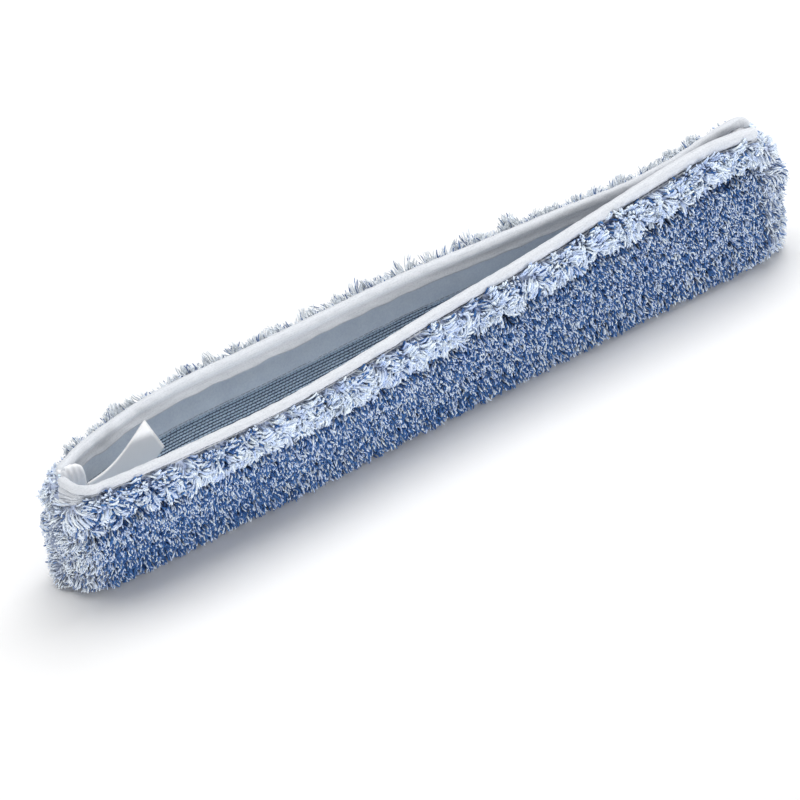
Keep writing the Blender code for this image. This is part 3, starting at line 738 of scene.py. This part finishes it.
    lock_t = t + to_lock[:, 0] * lock_size / WALL_LENGTH
    lock_d = np.clip(d + to_lock[:, 1] * lock_size, 0.0, slant - 0.05)
    gather = wall_frame(lock_t, lock_d)[0] - root
    gather = gather * np.minimum(1.0, LOCK_PULL / np.linalg.norm(gather, axis=-1, keepdims=True))
    drift = gather * np.where(roll, 0.62, 0.18 + 0.30 * ends)
    root = root - level_out * below + unit(out * (1.0 - foot) + fan * foot) * 0.8 * lift
    bend = np.where(roll, 0.15, 0.40)
    beat = lock[:, 2:] + np.where(roll, 0.08, 0.5) * np.concatenate([draw_c, draw_d], 1)
    girth = np.where(roll, ROLL_RADIUS * roll_gain * (1.0 - 0.38 * rise), FIELD_RADIUS * field_gain)

    # Painted shade: each end runs up from a darker root colour over its shade length. The length grows
    # towards the foot, so the bottom edge reads darker, and shrinks round the ends. Roots are paler in the
    # rising fluff, at the right top corner, round the ends and in the top rows under the hem.
    shade = np.where(roll, (0.45 - 0.15 * rise) * reach, 6.6 + 2.5 * foot) * (1.0 - 0.45 * ends)
    root_shade = FIELD_ROOT_SHADE + (ROLL_ROOT_SHADE - FIELD_ROOT_SHADE) * np.maximum(roll, ends * (1.0 - foot))
    less_root_shade = np.maximum(np.maximum(rise * roll, right_top), 0.6 * ends * (1.0 - 0.6 * foot))
    root_shade = root_shade + (PALE_BED_SHADE - root_shade) * np.maximum(less_root_shade, 0.8 * fade(q, 0.3, -0.3))
    # Painted shade in the mix of colours: fewer white ends at the rims of the locks, between the lumps of the
    # roll, and just under the crease.
    near_lock = 0.36 - np.linalg.norm(to_lock, axis=-1)
    chance = white_share(t, d) + np.where(d < crease, 0.30, 0.10) * near_lock + 0.08 * (lock[:, 3] - 0.5)
    lump_shade_share = np.where(roll, 0.50 * (1.0 - 0.7 * rise) * (bulge - 0.45), -0.22 * (1.0 - past))
    # Painted light: in the rising fluff and round the ends the lilac share is cut and the white ends
    # whitened.
    lilac = 1.0 - np.maximum(0.7 * rise * roll, 0.25 * ends)
    colour = yarn_colours(chance + lump_shade_share[:, 0], order, rng, lilac)
    return yarn_tubes(name, root, start, finish, bend, reach, drift, beat, girth, shade, root_shade, colour, rng,
                      look)


def pad(rows, cols):
    """Faces of a closed pad: a front grid of points, a back grid of as many, and the rim between them."""
    total = rows * cols
    grid = np.arange(total).reshape(rows, cols)
    rim = np.concatenate([grid[0], grid[1:, -1], grid[-1, -2::-1], grid[-2:0:-1, 0]])
    after = np.roll(rim, -1)
    quads = grid_quads(rows, cols)
    return [quads, quads[:, ::-1] + total, np.stack([after, rim, rim + total, after + total], -1)]


def pile_bed(name, t_range, pile, stands_for):
    """Closed pad of matted yarn under the standing ends, from the hem down to the floor, coloured in painted
    shade.
    """
    t = np.linspace(*t_range, max(12, int((t_range[1] - t_range[0]) * WALL_LENGTH / BED_STEP)))
    slant = wall_slant(t)
    top = hem_depth(t) - TOP_GAP
    d = top + (slant - top) * np.linspace(0.0, 1.0, BED_ROWS)[:, None]
    t = np.broadcast_to(t, d.shape)
    point, out = wall_frame(t, d)[:2]
    tip = 0.75 * fade(d, slant - BED_FOOT, BED_FOOT)[..., None]
    way = np.where(tip > 0.0, unit(unit(out * LEVEL) * np.cos(tip) + DOWN * np.sin(tip)), out)
    outer = point + way * lumps(t, d, pile)[0][..., None]
    inner = point + out * BED_CLEAR
    # Painted shade in the bed's colour: darkest in the field, a paler blue in the roll, palest under the hem
    # and round the ends, and darker again along the end seams.
    pale = np.maximum(fade(d, crease_depth(t), -3.0), near_end(t))[..., None]
    white = np.maximum(fade(d, top + 4.0, -4.0), near_end(t))[..., None]
    seam_groove_shade = (bell(past_seam(t), 3.6) * fade(d, 13.0, 6.0))[..., None]
    tint = (FIELD_BED_SHADE + (ROLL_BED_SHADE - FIELD_BED_SHADE) * pale) * (1.0 - 0.55 * seam_groove_shade)
    tint = tint + (PALE_BED_SHADE - tint) * white * (1.0 - 0.9 * seam_groove_shade)
    tint = np.concatenate([tint, tint]).reshape(-1, 3)
    polygons = [p[:, ::-1] for p in pad(*d.shape)]
    return put(name, np.concatenate([outer, inner]), polygons, yarn_finish, stands_for, tint=tint)


pile_bed("front_pile_bed", (LEFT_END, RIGHT_END), EVEN_PILE, ["front_pile"])
pile_bed("rear_pile_bed", (2.0 - RIGHT_END, 2.0 - LEFT_END), EVEN_PILE, ["rear_pile"])
pile_bed("left_pile_bed", (-LEFT_END, LEFT_END), LEFT_PILE, ["left_end_pile"])
pile_bed("right_pile_bed", (RIGHT_END, 2.0 - RIGHT_END), RIGHT_PILE, ["right_end_pile"])

fifth = (RIGHT_END - LEFT_END) / 5.0
for part, name in enumerate(("left", "mid_left", "middle", "mid_right", "right")):
    first_t = LEFT_END + part * fifth
    tufts("front_yarn_" + name, (first_t, first_t + fifth), 100 + part)
quarter = (RIGHT_END - LEFT_END) / 4.0
for part, name in enumerate(("right", "mid_right", "mid_left", "left")):
    first_t = 2.0 - RIGHT_END + part * quarter
    tufts("rear_yarn_" + name, (first_t, first_t + quarter), 200 + part, roll_gain=0.80, field_gain=1.45,
          rise=1.0, look=fluff_finish)
tufts("left_end_yarn", (-LEFT_END, LEFT_END), 300, LEFT_PILE, look=fluff_finish)
tufts("right_end_yarn", (RIGHT_END, 2.0 - RIGHT_END), 400, RIGHT_PILE, look=fluff_finish)

# Bottom pile: the same yarn under the fold, where the sleeve stands on it.
# The weight of the sleeve presses it flat and spreads it a little.
BED_SPREAD = np.array([2.6, 3.0, 1.4, -0.2])[:, None, None]
BED_LEVEL = np.array([2.0, 3.6, 6.4, TUB_FLOOR - 0.2])[:, None]
FLOOR_SPACING = 1.6
FLOOR_END_GAP = 8.0
FLOOR_SIDE_GAP = 3.5
FLOOR_ROOT_Z = 5.2
ahead = on_ring(fold_ring, ring_turn + 0.004) - on_ring(fold_ring, ring_turn - 0.004)
beside = unit(np.cross(ahead, (0.0, 0.0, 1.0)))
bed_rows = on_ring(fold_ring, ring_turn) + beside * BED_SPREAD
bed_rows[..., 2] = BED_LEVEL
# The pad under the fold takes the field's painted-shade blue.
bed_tint = np.broadcast_to(FIELD_BED_SHADE, (bed_rows.size // 3, 3))
put("bottom_pile_bed", bed_rows, tub_polygons(len(bed_rows)), yarn_finish, ["bottom_pile"],
    tint=bed_tint)


def floor_tufts(name, seed):
    """Yarn ends under the fold: each leaves straight down and turns level as it meets the floor."""
    rng = np.random.default_rng(seed)
    xs = np.arange(TUB_LEFT + FLOOR_END_GAP, TUB_RIGHT - FLOOR_END_GAP, FLOOR_SPACING)
    ys = np.arange(-TUB_HALF_WIDTH + FLOOR_SIDE_GAP, TUB_HALF_WIDTH - FLOOR_SIDE_GAP + 0.1, FLOOR_SPACING)
    x, y = [g.ravel() for g in np.meshgrid(xs, ys)]
    count = len(x)
    x = x + rng.uniform(-0.5, 0.5, count) * FLOOR_SPACING
    y = y + rng.uniform(-0.5, 0.5, count) * FLOOR_SPACING
    root = np.stack([x, y, np.full(count, FLOOR_ROOT_Z)], -1)
    angle = rng.uniform(0.0, 2.0 * np.pi, count)
    level = np.stack([np.cos(angle), np.sin(angle) + 0.10 * y, np.full(count, -0.12)], -1)
    start = unit(0.5 * level + DOWN)
    reach = rng.uniform(6.0, 8.5, (count, 1))
    beat = rng.uniform(0.0, 1.0, (count, 2))
    girth = np.full((count, 1), ROLL_RADIUS)
    colour = yarn_colours(np.full(count, 0.5), rng.uniform(0.0, 1.0, count), rng)
    bend = np.zeros((count, 1))
    still = np.zeros((count, 3))
    # Painted shade: these ends rise from the field's darker root colour over most of their length.
    root_shade = np.broadcast_to(FIELD_ROOT_SHADE, (count, 3))
    return yarn_tubes(name, root, start, unit(level), bend, reach, still, beat, girth, 0.6 * reach, root_shade,
                      colour, rng)


floor_tufts("bottom_yarn", 500)

# Facing: a smooth grey woven strip laid against the knit inside the mouth.
# Its top edge lies under the tape, and a row of stitches holds its lower edge.
FACING_TOP = 4.5
FACING_BOTTOM = 20.4
FACING_IN = FABRIC_T + 0.3
FACING_T = 0.6
FACING_ROWS = 22
FACING_COLS = 190
WEAVE_PITCH = 0.55
FACING_DARK = (0.57, 0.645, 0.78)
FACING_LIGHT = (0.87, 0.945, 1.00)

facing_finish, tree, shader = new_finish("facing_weave", 0.75, 0.1)
lengthwise, crosswise = cloth_axes(tree)[1:]
crossing = times(wave(lengthwise, WEAVE_PITCH), wave(crosswise, WEAVE_PITCH))
weave = plus(times(crossing, 0.5), 0.5)
uneven = plus(times(noise(tree, 90.0, 4.0), 0.55), times(noise(tree, 900.0), 0.7))
tone = plus(times(weave, 0.30), plus(uneven, -0.25))
paint(shader, tone, FACING_DARK, FACING_LIGHT)
raise_bump(shader, weave, 0.25, 0.0002)


def facing(name, t_range, seed, stands_for):
    """Closed strip that follows the inside of the wall, with shallow waves along its length."""
    t = np.linspace(*t_range, FACING_COLS)
    d = np.linspace(FACING_TOP, FACING_BOTTOM, FACING_ROWS)[:, None]
    d = d + 0.35 * ripple(t * WALL_LENGTH / 42.0, 0.0, seed) * fade(d, FACING_TOP, FACING_BOTTOM - FACING_TOP)
    t = np.broadcast_to(t, d.shape)
    point, out = wall_frame(t, d)[:2]
    sway = 0.22 * ripple(t * WALL_LENGTH / 21.0, d / 30.0, seed + 1) * fade(d, 8.0, 6.0)
    face = point - out * (FACING_IN + FACING_T + 0.1 + sway)[..., None]
    back = point - out * FACING_IN
    uv = np.stack([t * WALL_LENGTH, d], -1)
    piece = put(name, np.concatenate([face, back]), pad(FACING_ROWS, FACING_COLS), facing_finish,
                stands_for, uv=np.concatenate([uv, uv]))
    return piece


facing("front_facing_strip", (0.012, 0.985), 51, ["front_facing"])
facing("rear_facing_strip", (1.015, 1.978), 55, ["rear_facing"])

# Binding: soft white tape folded over each mouth edge and sewn through. It rolls over the top, is drawn in
# at the stitch line, and ends in a thin hem outside and a deeper one inside the pocket.
TAPE_WIDTH = 21.0
STITCH_DEPTH = 4.4
INNER_HEM_TOP = 3.5
INNER_HEM_RUN = 4.2
TAPE_ROWS = 240
LEFT_ROWS = np.linspace(0.0, 0.06, 44)
RIGHT_ROWS = np.linspace(0.0, 0.008, 9)
END_TAPER = 3.5
HEM_STEPS = 36
OUTSIDE_STEPS = 60
SKIN_STEPS = 100
LINING_STEPS = 16
WALE_PITCH = 0.8
COURSE_PITCH = 0.6
TAPE_DARK = (0.50, 0.525, 0.575)
TAPE_LIGHT = (0.735, 0.76, 0.80)


def stretched(value, low, high):
    """The input with its range from low to high drawn out to 0 to 1."""
    made = node(value.id_data, "ShaderNodeMapRange")
    made.inputs["From Min"].default_value = low
    made.inputs["From Max"].default_value = high
    value.id_data.links.new(value, made.inputs["Value"])
    return made.outputs["Result"]


tape_finish, tree, shader = new_finish("binding_tape", 0.85, 0.2)
cloth, lengthwise, crosswise = cloth_axes(tree)
crossing = times(wave(lengthwise, WALE_PITCH), wave(crosswise, COURSE_PITCH))
stockinet = plus(times(crossing, 0.5), 0.5)
drawn_out = node(tree, "ShaderNodeMapping")
drawn_out.inputs["Scale"].default_value = (0.10, 1.5, 1.0)
tree.links.new(cloth, drawn_out.inputs["Vector"])
streaks = noise(tree, 1.0, 4.0, drawn_out.outputs["Vector"])
fleck = noise(tree, 1.1, 3.0, cloth)
uneven = plus(times(stretched(streaks, 0.30, 0.52), 0.35),
              times(stretched(fleck, 0.30, 0.55), 0.40))
paint(shader, plus(times(stockinet, 0.25), uneven), TAPE_DARK, TAPE_LIGHT)
raise_bump(shader, plus(stockinet, streaks), 0.35, 0.0004)


def open_curve(points, count):
    """Open spline through 2-D points, read at even lengths."""
    pts = np.asarray(points, float)
    ends = np.vstack([2 * pts[0] - pts[1], pts, 2 * pts[-1] - pts[-2]])
    s = np.linspace(0.0, 1.0, 12, endpoint=False)[None, :, None]
    a, b, c, e = ends[:-3, None], ends[1:-2, None], ends[2:-1, None], ends[3:, None]
    bend2, bend3 = 2 * a - 5 * b + 4 * c - e, 3 * b - a - 3 * c + e
    curve = 0.5 * (2 * b + (c - a) * s + bend2 * s ** 2 + bend3 * s ** 3)
    curve = np.vstack([curve.reshape(-1, 2), pts[-1:]])
    arc = arc_length(curve)
    at = np.linspace(0.0, arc[-1], count)
    return np.stack([np.interp(at, arc, curve[:, 0]), np.interp(at, arc, curve[:, 1])], -1)


def tape_outline():
    """Cross-section, as outward and downward distances from the mouth edge: outer hem, stitch groove, roll
    over the top, the fold inside, and the inner hem that stands off the facing; then back inside the fold."""
    hem = open_curve([(0.60, 5.3), (1.00, 5.3), (1.20, 5.1), (1.05, 4.9), (0.70, 4.75), (0.25, 4.6),
                      (0.15, STITCH_DEPTH)], HEM_STEPS)
    roll = open_curve([(0.15, STITCH_DEPTH), (0.35, 4.05), (1.00, 3.55), (1.55, 2.5), (1.80, 1.1),
                       (1.65, -0.2)], OUTSIDE_STEPS - HEM_STEPS + 1)
    inside = open_curve([(1.65, -0.2), (0.90, -1.45), (-0.6, -1.9), (-2.0, -1.4), (-2.9, 0.0), (-3.2, 1.7),
                         (-2.5, 3.2), (-2.6, 4.1), (-3.4, 5.7), (-4.0, 7.1), (-3.8, 7.7), (-3.1, 7.7)],
                        SKIN_STEPS - OUTSIDE_STEPS + 1)
    lining = open_curve([(-2.2, 6.6), (-2.15, 3.0), (-1.9, 0.6), (-1.0, -0.3), (-0.1, 0.4), (0.05, 3.0),
                         (0.08, 6.2)], LINING_STEPS)
    return np.vstack([hem, roll[1:], inside[1:], lining])


def binding(name, t_range, seed, stands_for, flare):
    """Tape swept along the mouth. Shallow puckers run along it, and at the flared corner the outer leg is
    pulled down in a few wrinkles."""
    t = np.concatenate([np.linspace(*t_range, TAPE_ROWS), t_range[0] + LEFT_ROWS, t_range[1] - RIGHT_ROWS])
    t = np.unique(t)
    section = tape_outline()
    section_n, section_d = section.T
    cols = len(section)
    place_in = np.arange(cols)
    skin = place_in < SKIN_STEPS
    outer = (section_n > -0.2) & (section_d > -1.0)
    point, out, up = wall_frame(t, 0.0)[:3]
    s = (t - t_range[0])[:, None] * WALL_LENGTH
    run = t[:, None] * WALL_LENGTH
    arc = arc_length(section)[None, :]
    pucker = 0.16 * ripple(run / 13.0, arc / 9.0, seed) + 0.10 * ripple(run / 5.0, arc / 6.0, seed + 1)
    held = np.clip(np.abs(section_d - STITCH_DEPTH) / 1.2, 0.15, 1.0)
    n = section_n + np.where(skin, pucker * held * np.sign(section_n + 0.7), 0.0)
    leg = np.where(outer, fade(section_d, 0.0, STITCH_DEPTH), 0.0)
    hem = np.where(outer, fade(section_d, STITCH_DEPTH, HEM), 0.0)
    inner_hem = skin & (section_n < 0.0) & (section_d > INNER_HEM_TOP)
    sway = 0.60 * ripple(run / 26.0, 0.0, seed + 2) * (section_d - INNER_HEM_TOP) / INNER_HEM_RUN
    pull = (hem_depth(t) - stitch_depth(t) - HEM)[:, None] * flare
    d = section_d + leg * (stitch_depth(t) - STITCH_DEPTH)[:, None]
    d = d + np.where(inner_hem, sway, 0.0) + pull * hem
    fold_turns = np.pi * (4.5 * hem + 0.5 + 0.04 * s)
    fold_rise = 2.1 * np.sqrt(np.abs(np.sin(fold_turns))) * fade(pull, 0.0, 5.0)
    n = n + np.where(outer & skin, fold_rise * np.clip(hem * 8.0, 0.0, 1.0), 0.0)
    end_gap = np.minimum(s, s[-1] - s)
    shrink = 0.25 + 0.75 * np.sqrt(1.0 - (1.0 - fade(end_gap, 0.0, END_TAPER)) ** 2)
    n = -0.8 + (n + 0.8) * shrink
    d = np.where(d < 2.0, 2.0 + (d - 2.0) * shrink, d)
    rings = point[:, None] + out[:, None] * n[..., None] - up[:, None] * d[..., None]
    ends = []
    for index in (0, len(t) - 1):
        ids = index * cols + place_in
        back = ids[::-1][np.arange(SKIN_STEPS) * LINING_STEPS // SKIN_STEPS]
        strip = np.stack([ids[:SKIN_STEPS - 1], ids[1:SKIN_STEPS], back[1:], back[:-1]], -1)
        strip = strip if index else strip[:, ::-1]
        same = back[1:] == back[:-1]
        ends.append(strip[~same])
        ends.append(strip[same][:, :3] if index else strip[same][:, 1:])
    uv = np.stack(np.broadcast_arrays(run, arc), -1)
    faces = [grid_quads(len(t), cols, wrap=True)] + ends
    piece = put(name, rings, faces, tape_finish, stands_for, uv=uv)
    strip = (TAPE_WIDTH * MM, (t_range[1] - t_range[0]) * WALL_LENGTH * MM)
    return piece


binding("front_tape", (0.002, 0.990), 61, ["front_binding"], 1.0)
binding("rear_tape", (1.003, 1.992), 66, ["rear_binding"], 0.0)

# Tape tails: the cut ends of both tapes, turned into the pocket at each end seam and caught in it.
# They are given a cleaner white than the face of the tape: painted light where they stand in the shade of the
# pocket.
TUCK_T = 2.4
TAIL_STEPS = 34
# Near-white tones, lighter than the tape's own: painted light.
TAIL_DARK = (0.84, 0.86, 0.90)
TAIL_LIGHT = (0.98, 0.98, 1.0)

tail_finish, tree, shader = new_finish("tape_tail_painted_light", 0.85, 0.2)
nap = noise(tree, 700.0)
paint(shader, nap, TAIL_DARK, TAIL_LIGHT)
raise_bump(shader, nap, 0.3, 0.0003)


def tail(name, seam, reach, foot, top, seed, stands_for):
    """Flat pad standing in the end of the pocket: a rectangle with its free upper corner rounded off,
    rounded at its rim, leaning a little back, and drawn into pleats that fan down from its top."""
    f, g = np.meshgrid(np.linspace(0.0, 1.0, TAIL_STEPS), np.linspace(0.0, 1.0, TAIL_STEPS))
    seam_x, _, seam_z = on_ring(mouth_ring, seam)
    inward = 1.0 if seam_x < 0.0 else -1.0
    height = foot + (top - foot) * (g - 0.10 * g ** 6 * f ** 4)
    v = (height - TUB_FLOOR) / (seam_z - TUB_FLOOR)
    edge = wall_point(seam, v)[..., 0] + inward * (FABRIC_T + 1.1)
    x = edge + (seam_x + inward * (reach - 0.8 * g ** 6) - edge) * f
    crown = 0.5 * TUCK_T * (0.30 + 0.70 * np.sqrt(np.clip(np.minimum(1.0 - f, 1.0 - g) * 9.0, 0.0, 1.0)))
    pleat_turn = 4.2 * f + 0.5 * (1.0 - g) * f + 0.1 * seed
    pleat = 0.24 * np.sin(2.0 * np.pi * pleat_turn) * np.clip(g * 1.6 - 0.3, 0.0, 1.0)
    middle = pleat + 3.0 * g ** 6
    points = np.array([np.stack([x, middle - crown, height], -1), np.stack([x, middle + crown, height], -1)])
    polygons = pad(TAIL_STEPS, TAIL_STEPS)
    if inward < 0.0:
        polygons = [p[:, ::-1] for p in polygons]
    piece = put(name, points, polygons, tail_finish, stands_for, uv=points[..., ::2])
    return piece


tail("left_tails", 0.0, 17.4, 28.0, 67.6, 1, ["left_tuck"])
tail("right_tails", 1.0, 17.5, 44.0, 73.0, 2, ["right_tuck"])

# Label: a bare, smooth white ribbon, folded into a loop and sewn to the left tape tails.
# It stands slanting up out of the mouth and swings on its sewn root.
LABEL_ROOT = (-212.3, 54.4)
LABEL_LENGTH = 41.5
LABEL_WIDTH = 21.3
LABEL_RISE = np.radians(27.8)
LABEL_SAG = 5.6
LABEL_BOW = 1.1
LABEL_TWIST = 2.5
RIBBON_T = 0.35
RIBBON_RIB = 0.4
LOOP_HALF_GAP = 0.28
LOOP_STEPS = 61
ACROSS_STEPS = 15
LABEL_DARK = (0.95, 0.96, 0.97)
LABEL_LIGHT = (0.98, 0.98, 0.99)

label_finish, tree, shader = new_finish("label_ribbon", 0.55, 0.1)
rib_line = wave(cloth_axes(tree)[1], RIBBON_RIB)
paint(shader, plus(times(rib_line, 0.12), noise(tree, 160.0)), LABEL_DARK, LABEL_LIGHT)
raise_bump(shader, rib_line, 0.12, 0.0001)

loop_at = np.linspace(-1.0, 1.0, LOOP_STEPS)
from_root = 1.0 - np.abs(loop_at)
across = np.linspace(0.0, 1.0, ACROSS_STEPS)[:, None]
label_reach = LABEL_LENGTH * np.cos(LABEL_RISE)
label_drop = LABEL_WIDTH / np.cos(LABEL_RISE)
x = from_root * label_reach * (1.0 + across * LABEL_WIDTH * np.sin(LABEL_RISE) / label_reach)
sag = LABEL_SAG * np.sin(np.pi * from_root) * (1.0 - 0.6 * across)
z = x * np.tan(LABEL_RISE) - label_drop * across - sag
bow = LABEL_TWIST * from_root ** 0.8 * (0.5 - across)
bow = bow - LABEL_BOW * np.sin(np.pi * from_root) * (across - 0.35)
y = bow + np.sign(loop_at) * LOOP_HALF_GAP * np.sqrt(np.clip(np.abs(loop_at) * 14.0, 0.0, 1.0))
skin = np.stack([x + LABEL_ROOT[0], y, z + LABEL_ROOT[1]], -1)
half_thick = 0.5 * RIBBON_T * unit(np.cross(np.gradient(skin, axis=1), np.gradient(skin, axis=0)))
label_uv = np.stack(np.broadcast_arrays(loop_at * LABEL_LENGTH, across * LABEL_WIDTH), -1)
label = put("label_loop", np.array([skin + half_thick, skin - half_thick]), pad(ACROSS_STEPS, LOOP_STEPS),
            label_finish, ["label"], uv=np.array([label_uv, label_uv]), body="label_flap")

# Stitches: spun thread, one short bar a stitch, along the tapes and the facings,
# up the inside of the end seams and in a bar tack at the label's root.
STITCH = 3.2
THREAD_R = 0.22
THREAD_SINK = 0.20
TAPE_FACE = 0.60
FACING_FACE = -(FACING_IN + FACING_T + 0.2)
FACING_STITCH_DEPTH = FACING_BOTTOM - 1.2
SEAM_HEIGHT = 66.0
SEAM_PITCH = 1.7
SEAM_STITCH = 2.4
SEAM_IN = FABRIC_T + 0.3
TACK_PITCH = 1.1
TACK_STITCH = 1.8


def thread_finish(name, dark, light):
    """Spun thread: two close tones in a fine twist."""
    finish, tree, shader = new_finish(name, 0.65)
    twist = noise(tree, 1500.0)
    paint(shader, twist, dark, light)
    raise_bump(shader, twist, 0.3, 0.0001)
    return finish


dark_thread = thread_finish("thread_dark", (0.09, 0.11, 0.16), (0.20, 0.23, 0.30))
grey_thread = thread_finish("thread_grey", (0.34, 0.38, 0.44), (0.50, 0.55, 0.62))
white_thread = thread_finish("thread_white", (0.66, 0.68, 0.72), (0.84, 0.86, 0.88))


def stitches(name, centres, way, rise, length, finish, stands_for):
    """Bars along the given directions: five six-sided rings whose radius and height follow a half circle,
    with points at both ends sunk into the cloth."""
    count = len(centres)
    s = np.linspace(-1.0, 1.0, 7)
    arch = np.sqrt(np.maximum(1.0 - s ** 2, 0.0))
    over = unit(rise - way * (rise * way).sum(-1, keepdims=True))
    beside = np.cross(way, over)
    turn = np.linspace(0.0, 2.0 * np.pi, 6, endpoint=False)
    spine = centres[:, None] + way[:, None] * (s * 0.5 * length)[None, :, None]
    spine = spine + over[:, None] * ((arch - 1.0) * THREAD_SINK)[None, :, None]
    radius = THREAD_R * (0.55 + 0.45 * arch[1:-1])
    ring = spine[:, 1:-1, None] + radius[None, :, None, None] * (
        over[:, None, None] * np.cos(turn)[None, None, :, None]
        + beside[:, None, None] * np.sin(turn)[None, None, :, None])
    points = np.concatenate([ring.reshape(count, 30, 3), spine[:, :1], spine[:, -1:]], 1)
    first = np.arange(count)[:, None, None] * 32
    k = np.arange(6)
    caps = np.concatenate([np.stack([(k + 1) % 6, k, np.full(6, 30)], -1),
                           np.stack([24 + k, 24 + (k + 1) % 6, np.full(6, 31)], -1)])
    polygons = [(grid_quads(5, 6, wrap=True) + first).reshape(-1, 4), (caps + first).reshape(-1, 3)]
    return put(name, points, polygons, finish, stands_for)


def mouth_stitches(name, t_range, depth, face, finish, stands_for):
    """Stitches in a row along the mouth, at a depth below its edge that is a function of the place."""
    t = np.linspace(*t_range, int((t_range[1] - t_range[0]) * WALL_LENGTH / STITCH))
    point, out, up, along = wall_frame(t, depth(t))
    centres = point + out * face
    return stitches(name, centres, along, out * np.sign(face), 1.02 * STITCH, finish, stands_for)


def facing_stitch_depth(t):
    """Depth of the facing's lower stitch line, the same all along."""
    return FACING_STITCH_DEPTH


def seam_stitches(name, seam, low, high, stands_for):
    """Slanting overlock stitches up the inside of an end seam."""
    v = np.linspace(low, high, int((high - low) * SEAM_HEIGHT / SEAM_PITCH))
    point, out, up, along = wall_frame(seam, (1.0 - v) * wall_slant(seam))
    way = unit(along + 0.6 * up)
    return stitches(name, point - out * SEAM_IN, way, -out, SEAM_STITCH, white_thread,
                    stands_for)


mouth_stitches("front_tape_stitches", (0.020, 0.975), stitch_depth, TAPE_FACE, dark_thread,
               ["front_binding_thread"])
mouth_stitches("rear_tape_stitches", (1.03, 1.965), stitch_depth, TAPE_FACE, dark_thread,
               ["rear_binding_thread"])
mouth_stitches("front_facing_stitches", (0.04, 0.965), facing_stitch_depth, FACING_FACE, grey_thread,
               ["front_facing_thread"])
mouth_stitches("rear_facing_stitches", (1.035, 1.955), facing_stitch_depth, FACING_FACE, grey_thread,
               ["rear_facing_thread"])
seam_stitches("left_seam_stitches", 0.0, 0.06, 0.32, ["left_seam_thread"])
seam_stitches("right_seam_stitches", 1.0, 0.06, 0.52, ["right_seam_thread"])

tack_z = np.arange(LABEL_ROOT[1] - label_drop + 1.0, LABEL_ROOT[1] - 1.0, TACK_PITCH)
tack_at = np.array([[LABEL_ROOT[0] - 1.9, -0.5 * TUCK_T - 0.05, z] for z in tack_z])
tack_way = unit(np.broadcast_to([1.0, 0.0, 0.25], tack_at.shape))
tack_rise = np.broadcast_to([0.0, -1.0, 0.0], tack_at.shape)
stitches("label_tack_stitches", tack_at, tack_way, tack_rise, TACK_STITCH, white_thread,
         ["label_tack"])
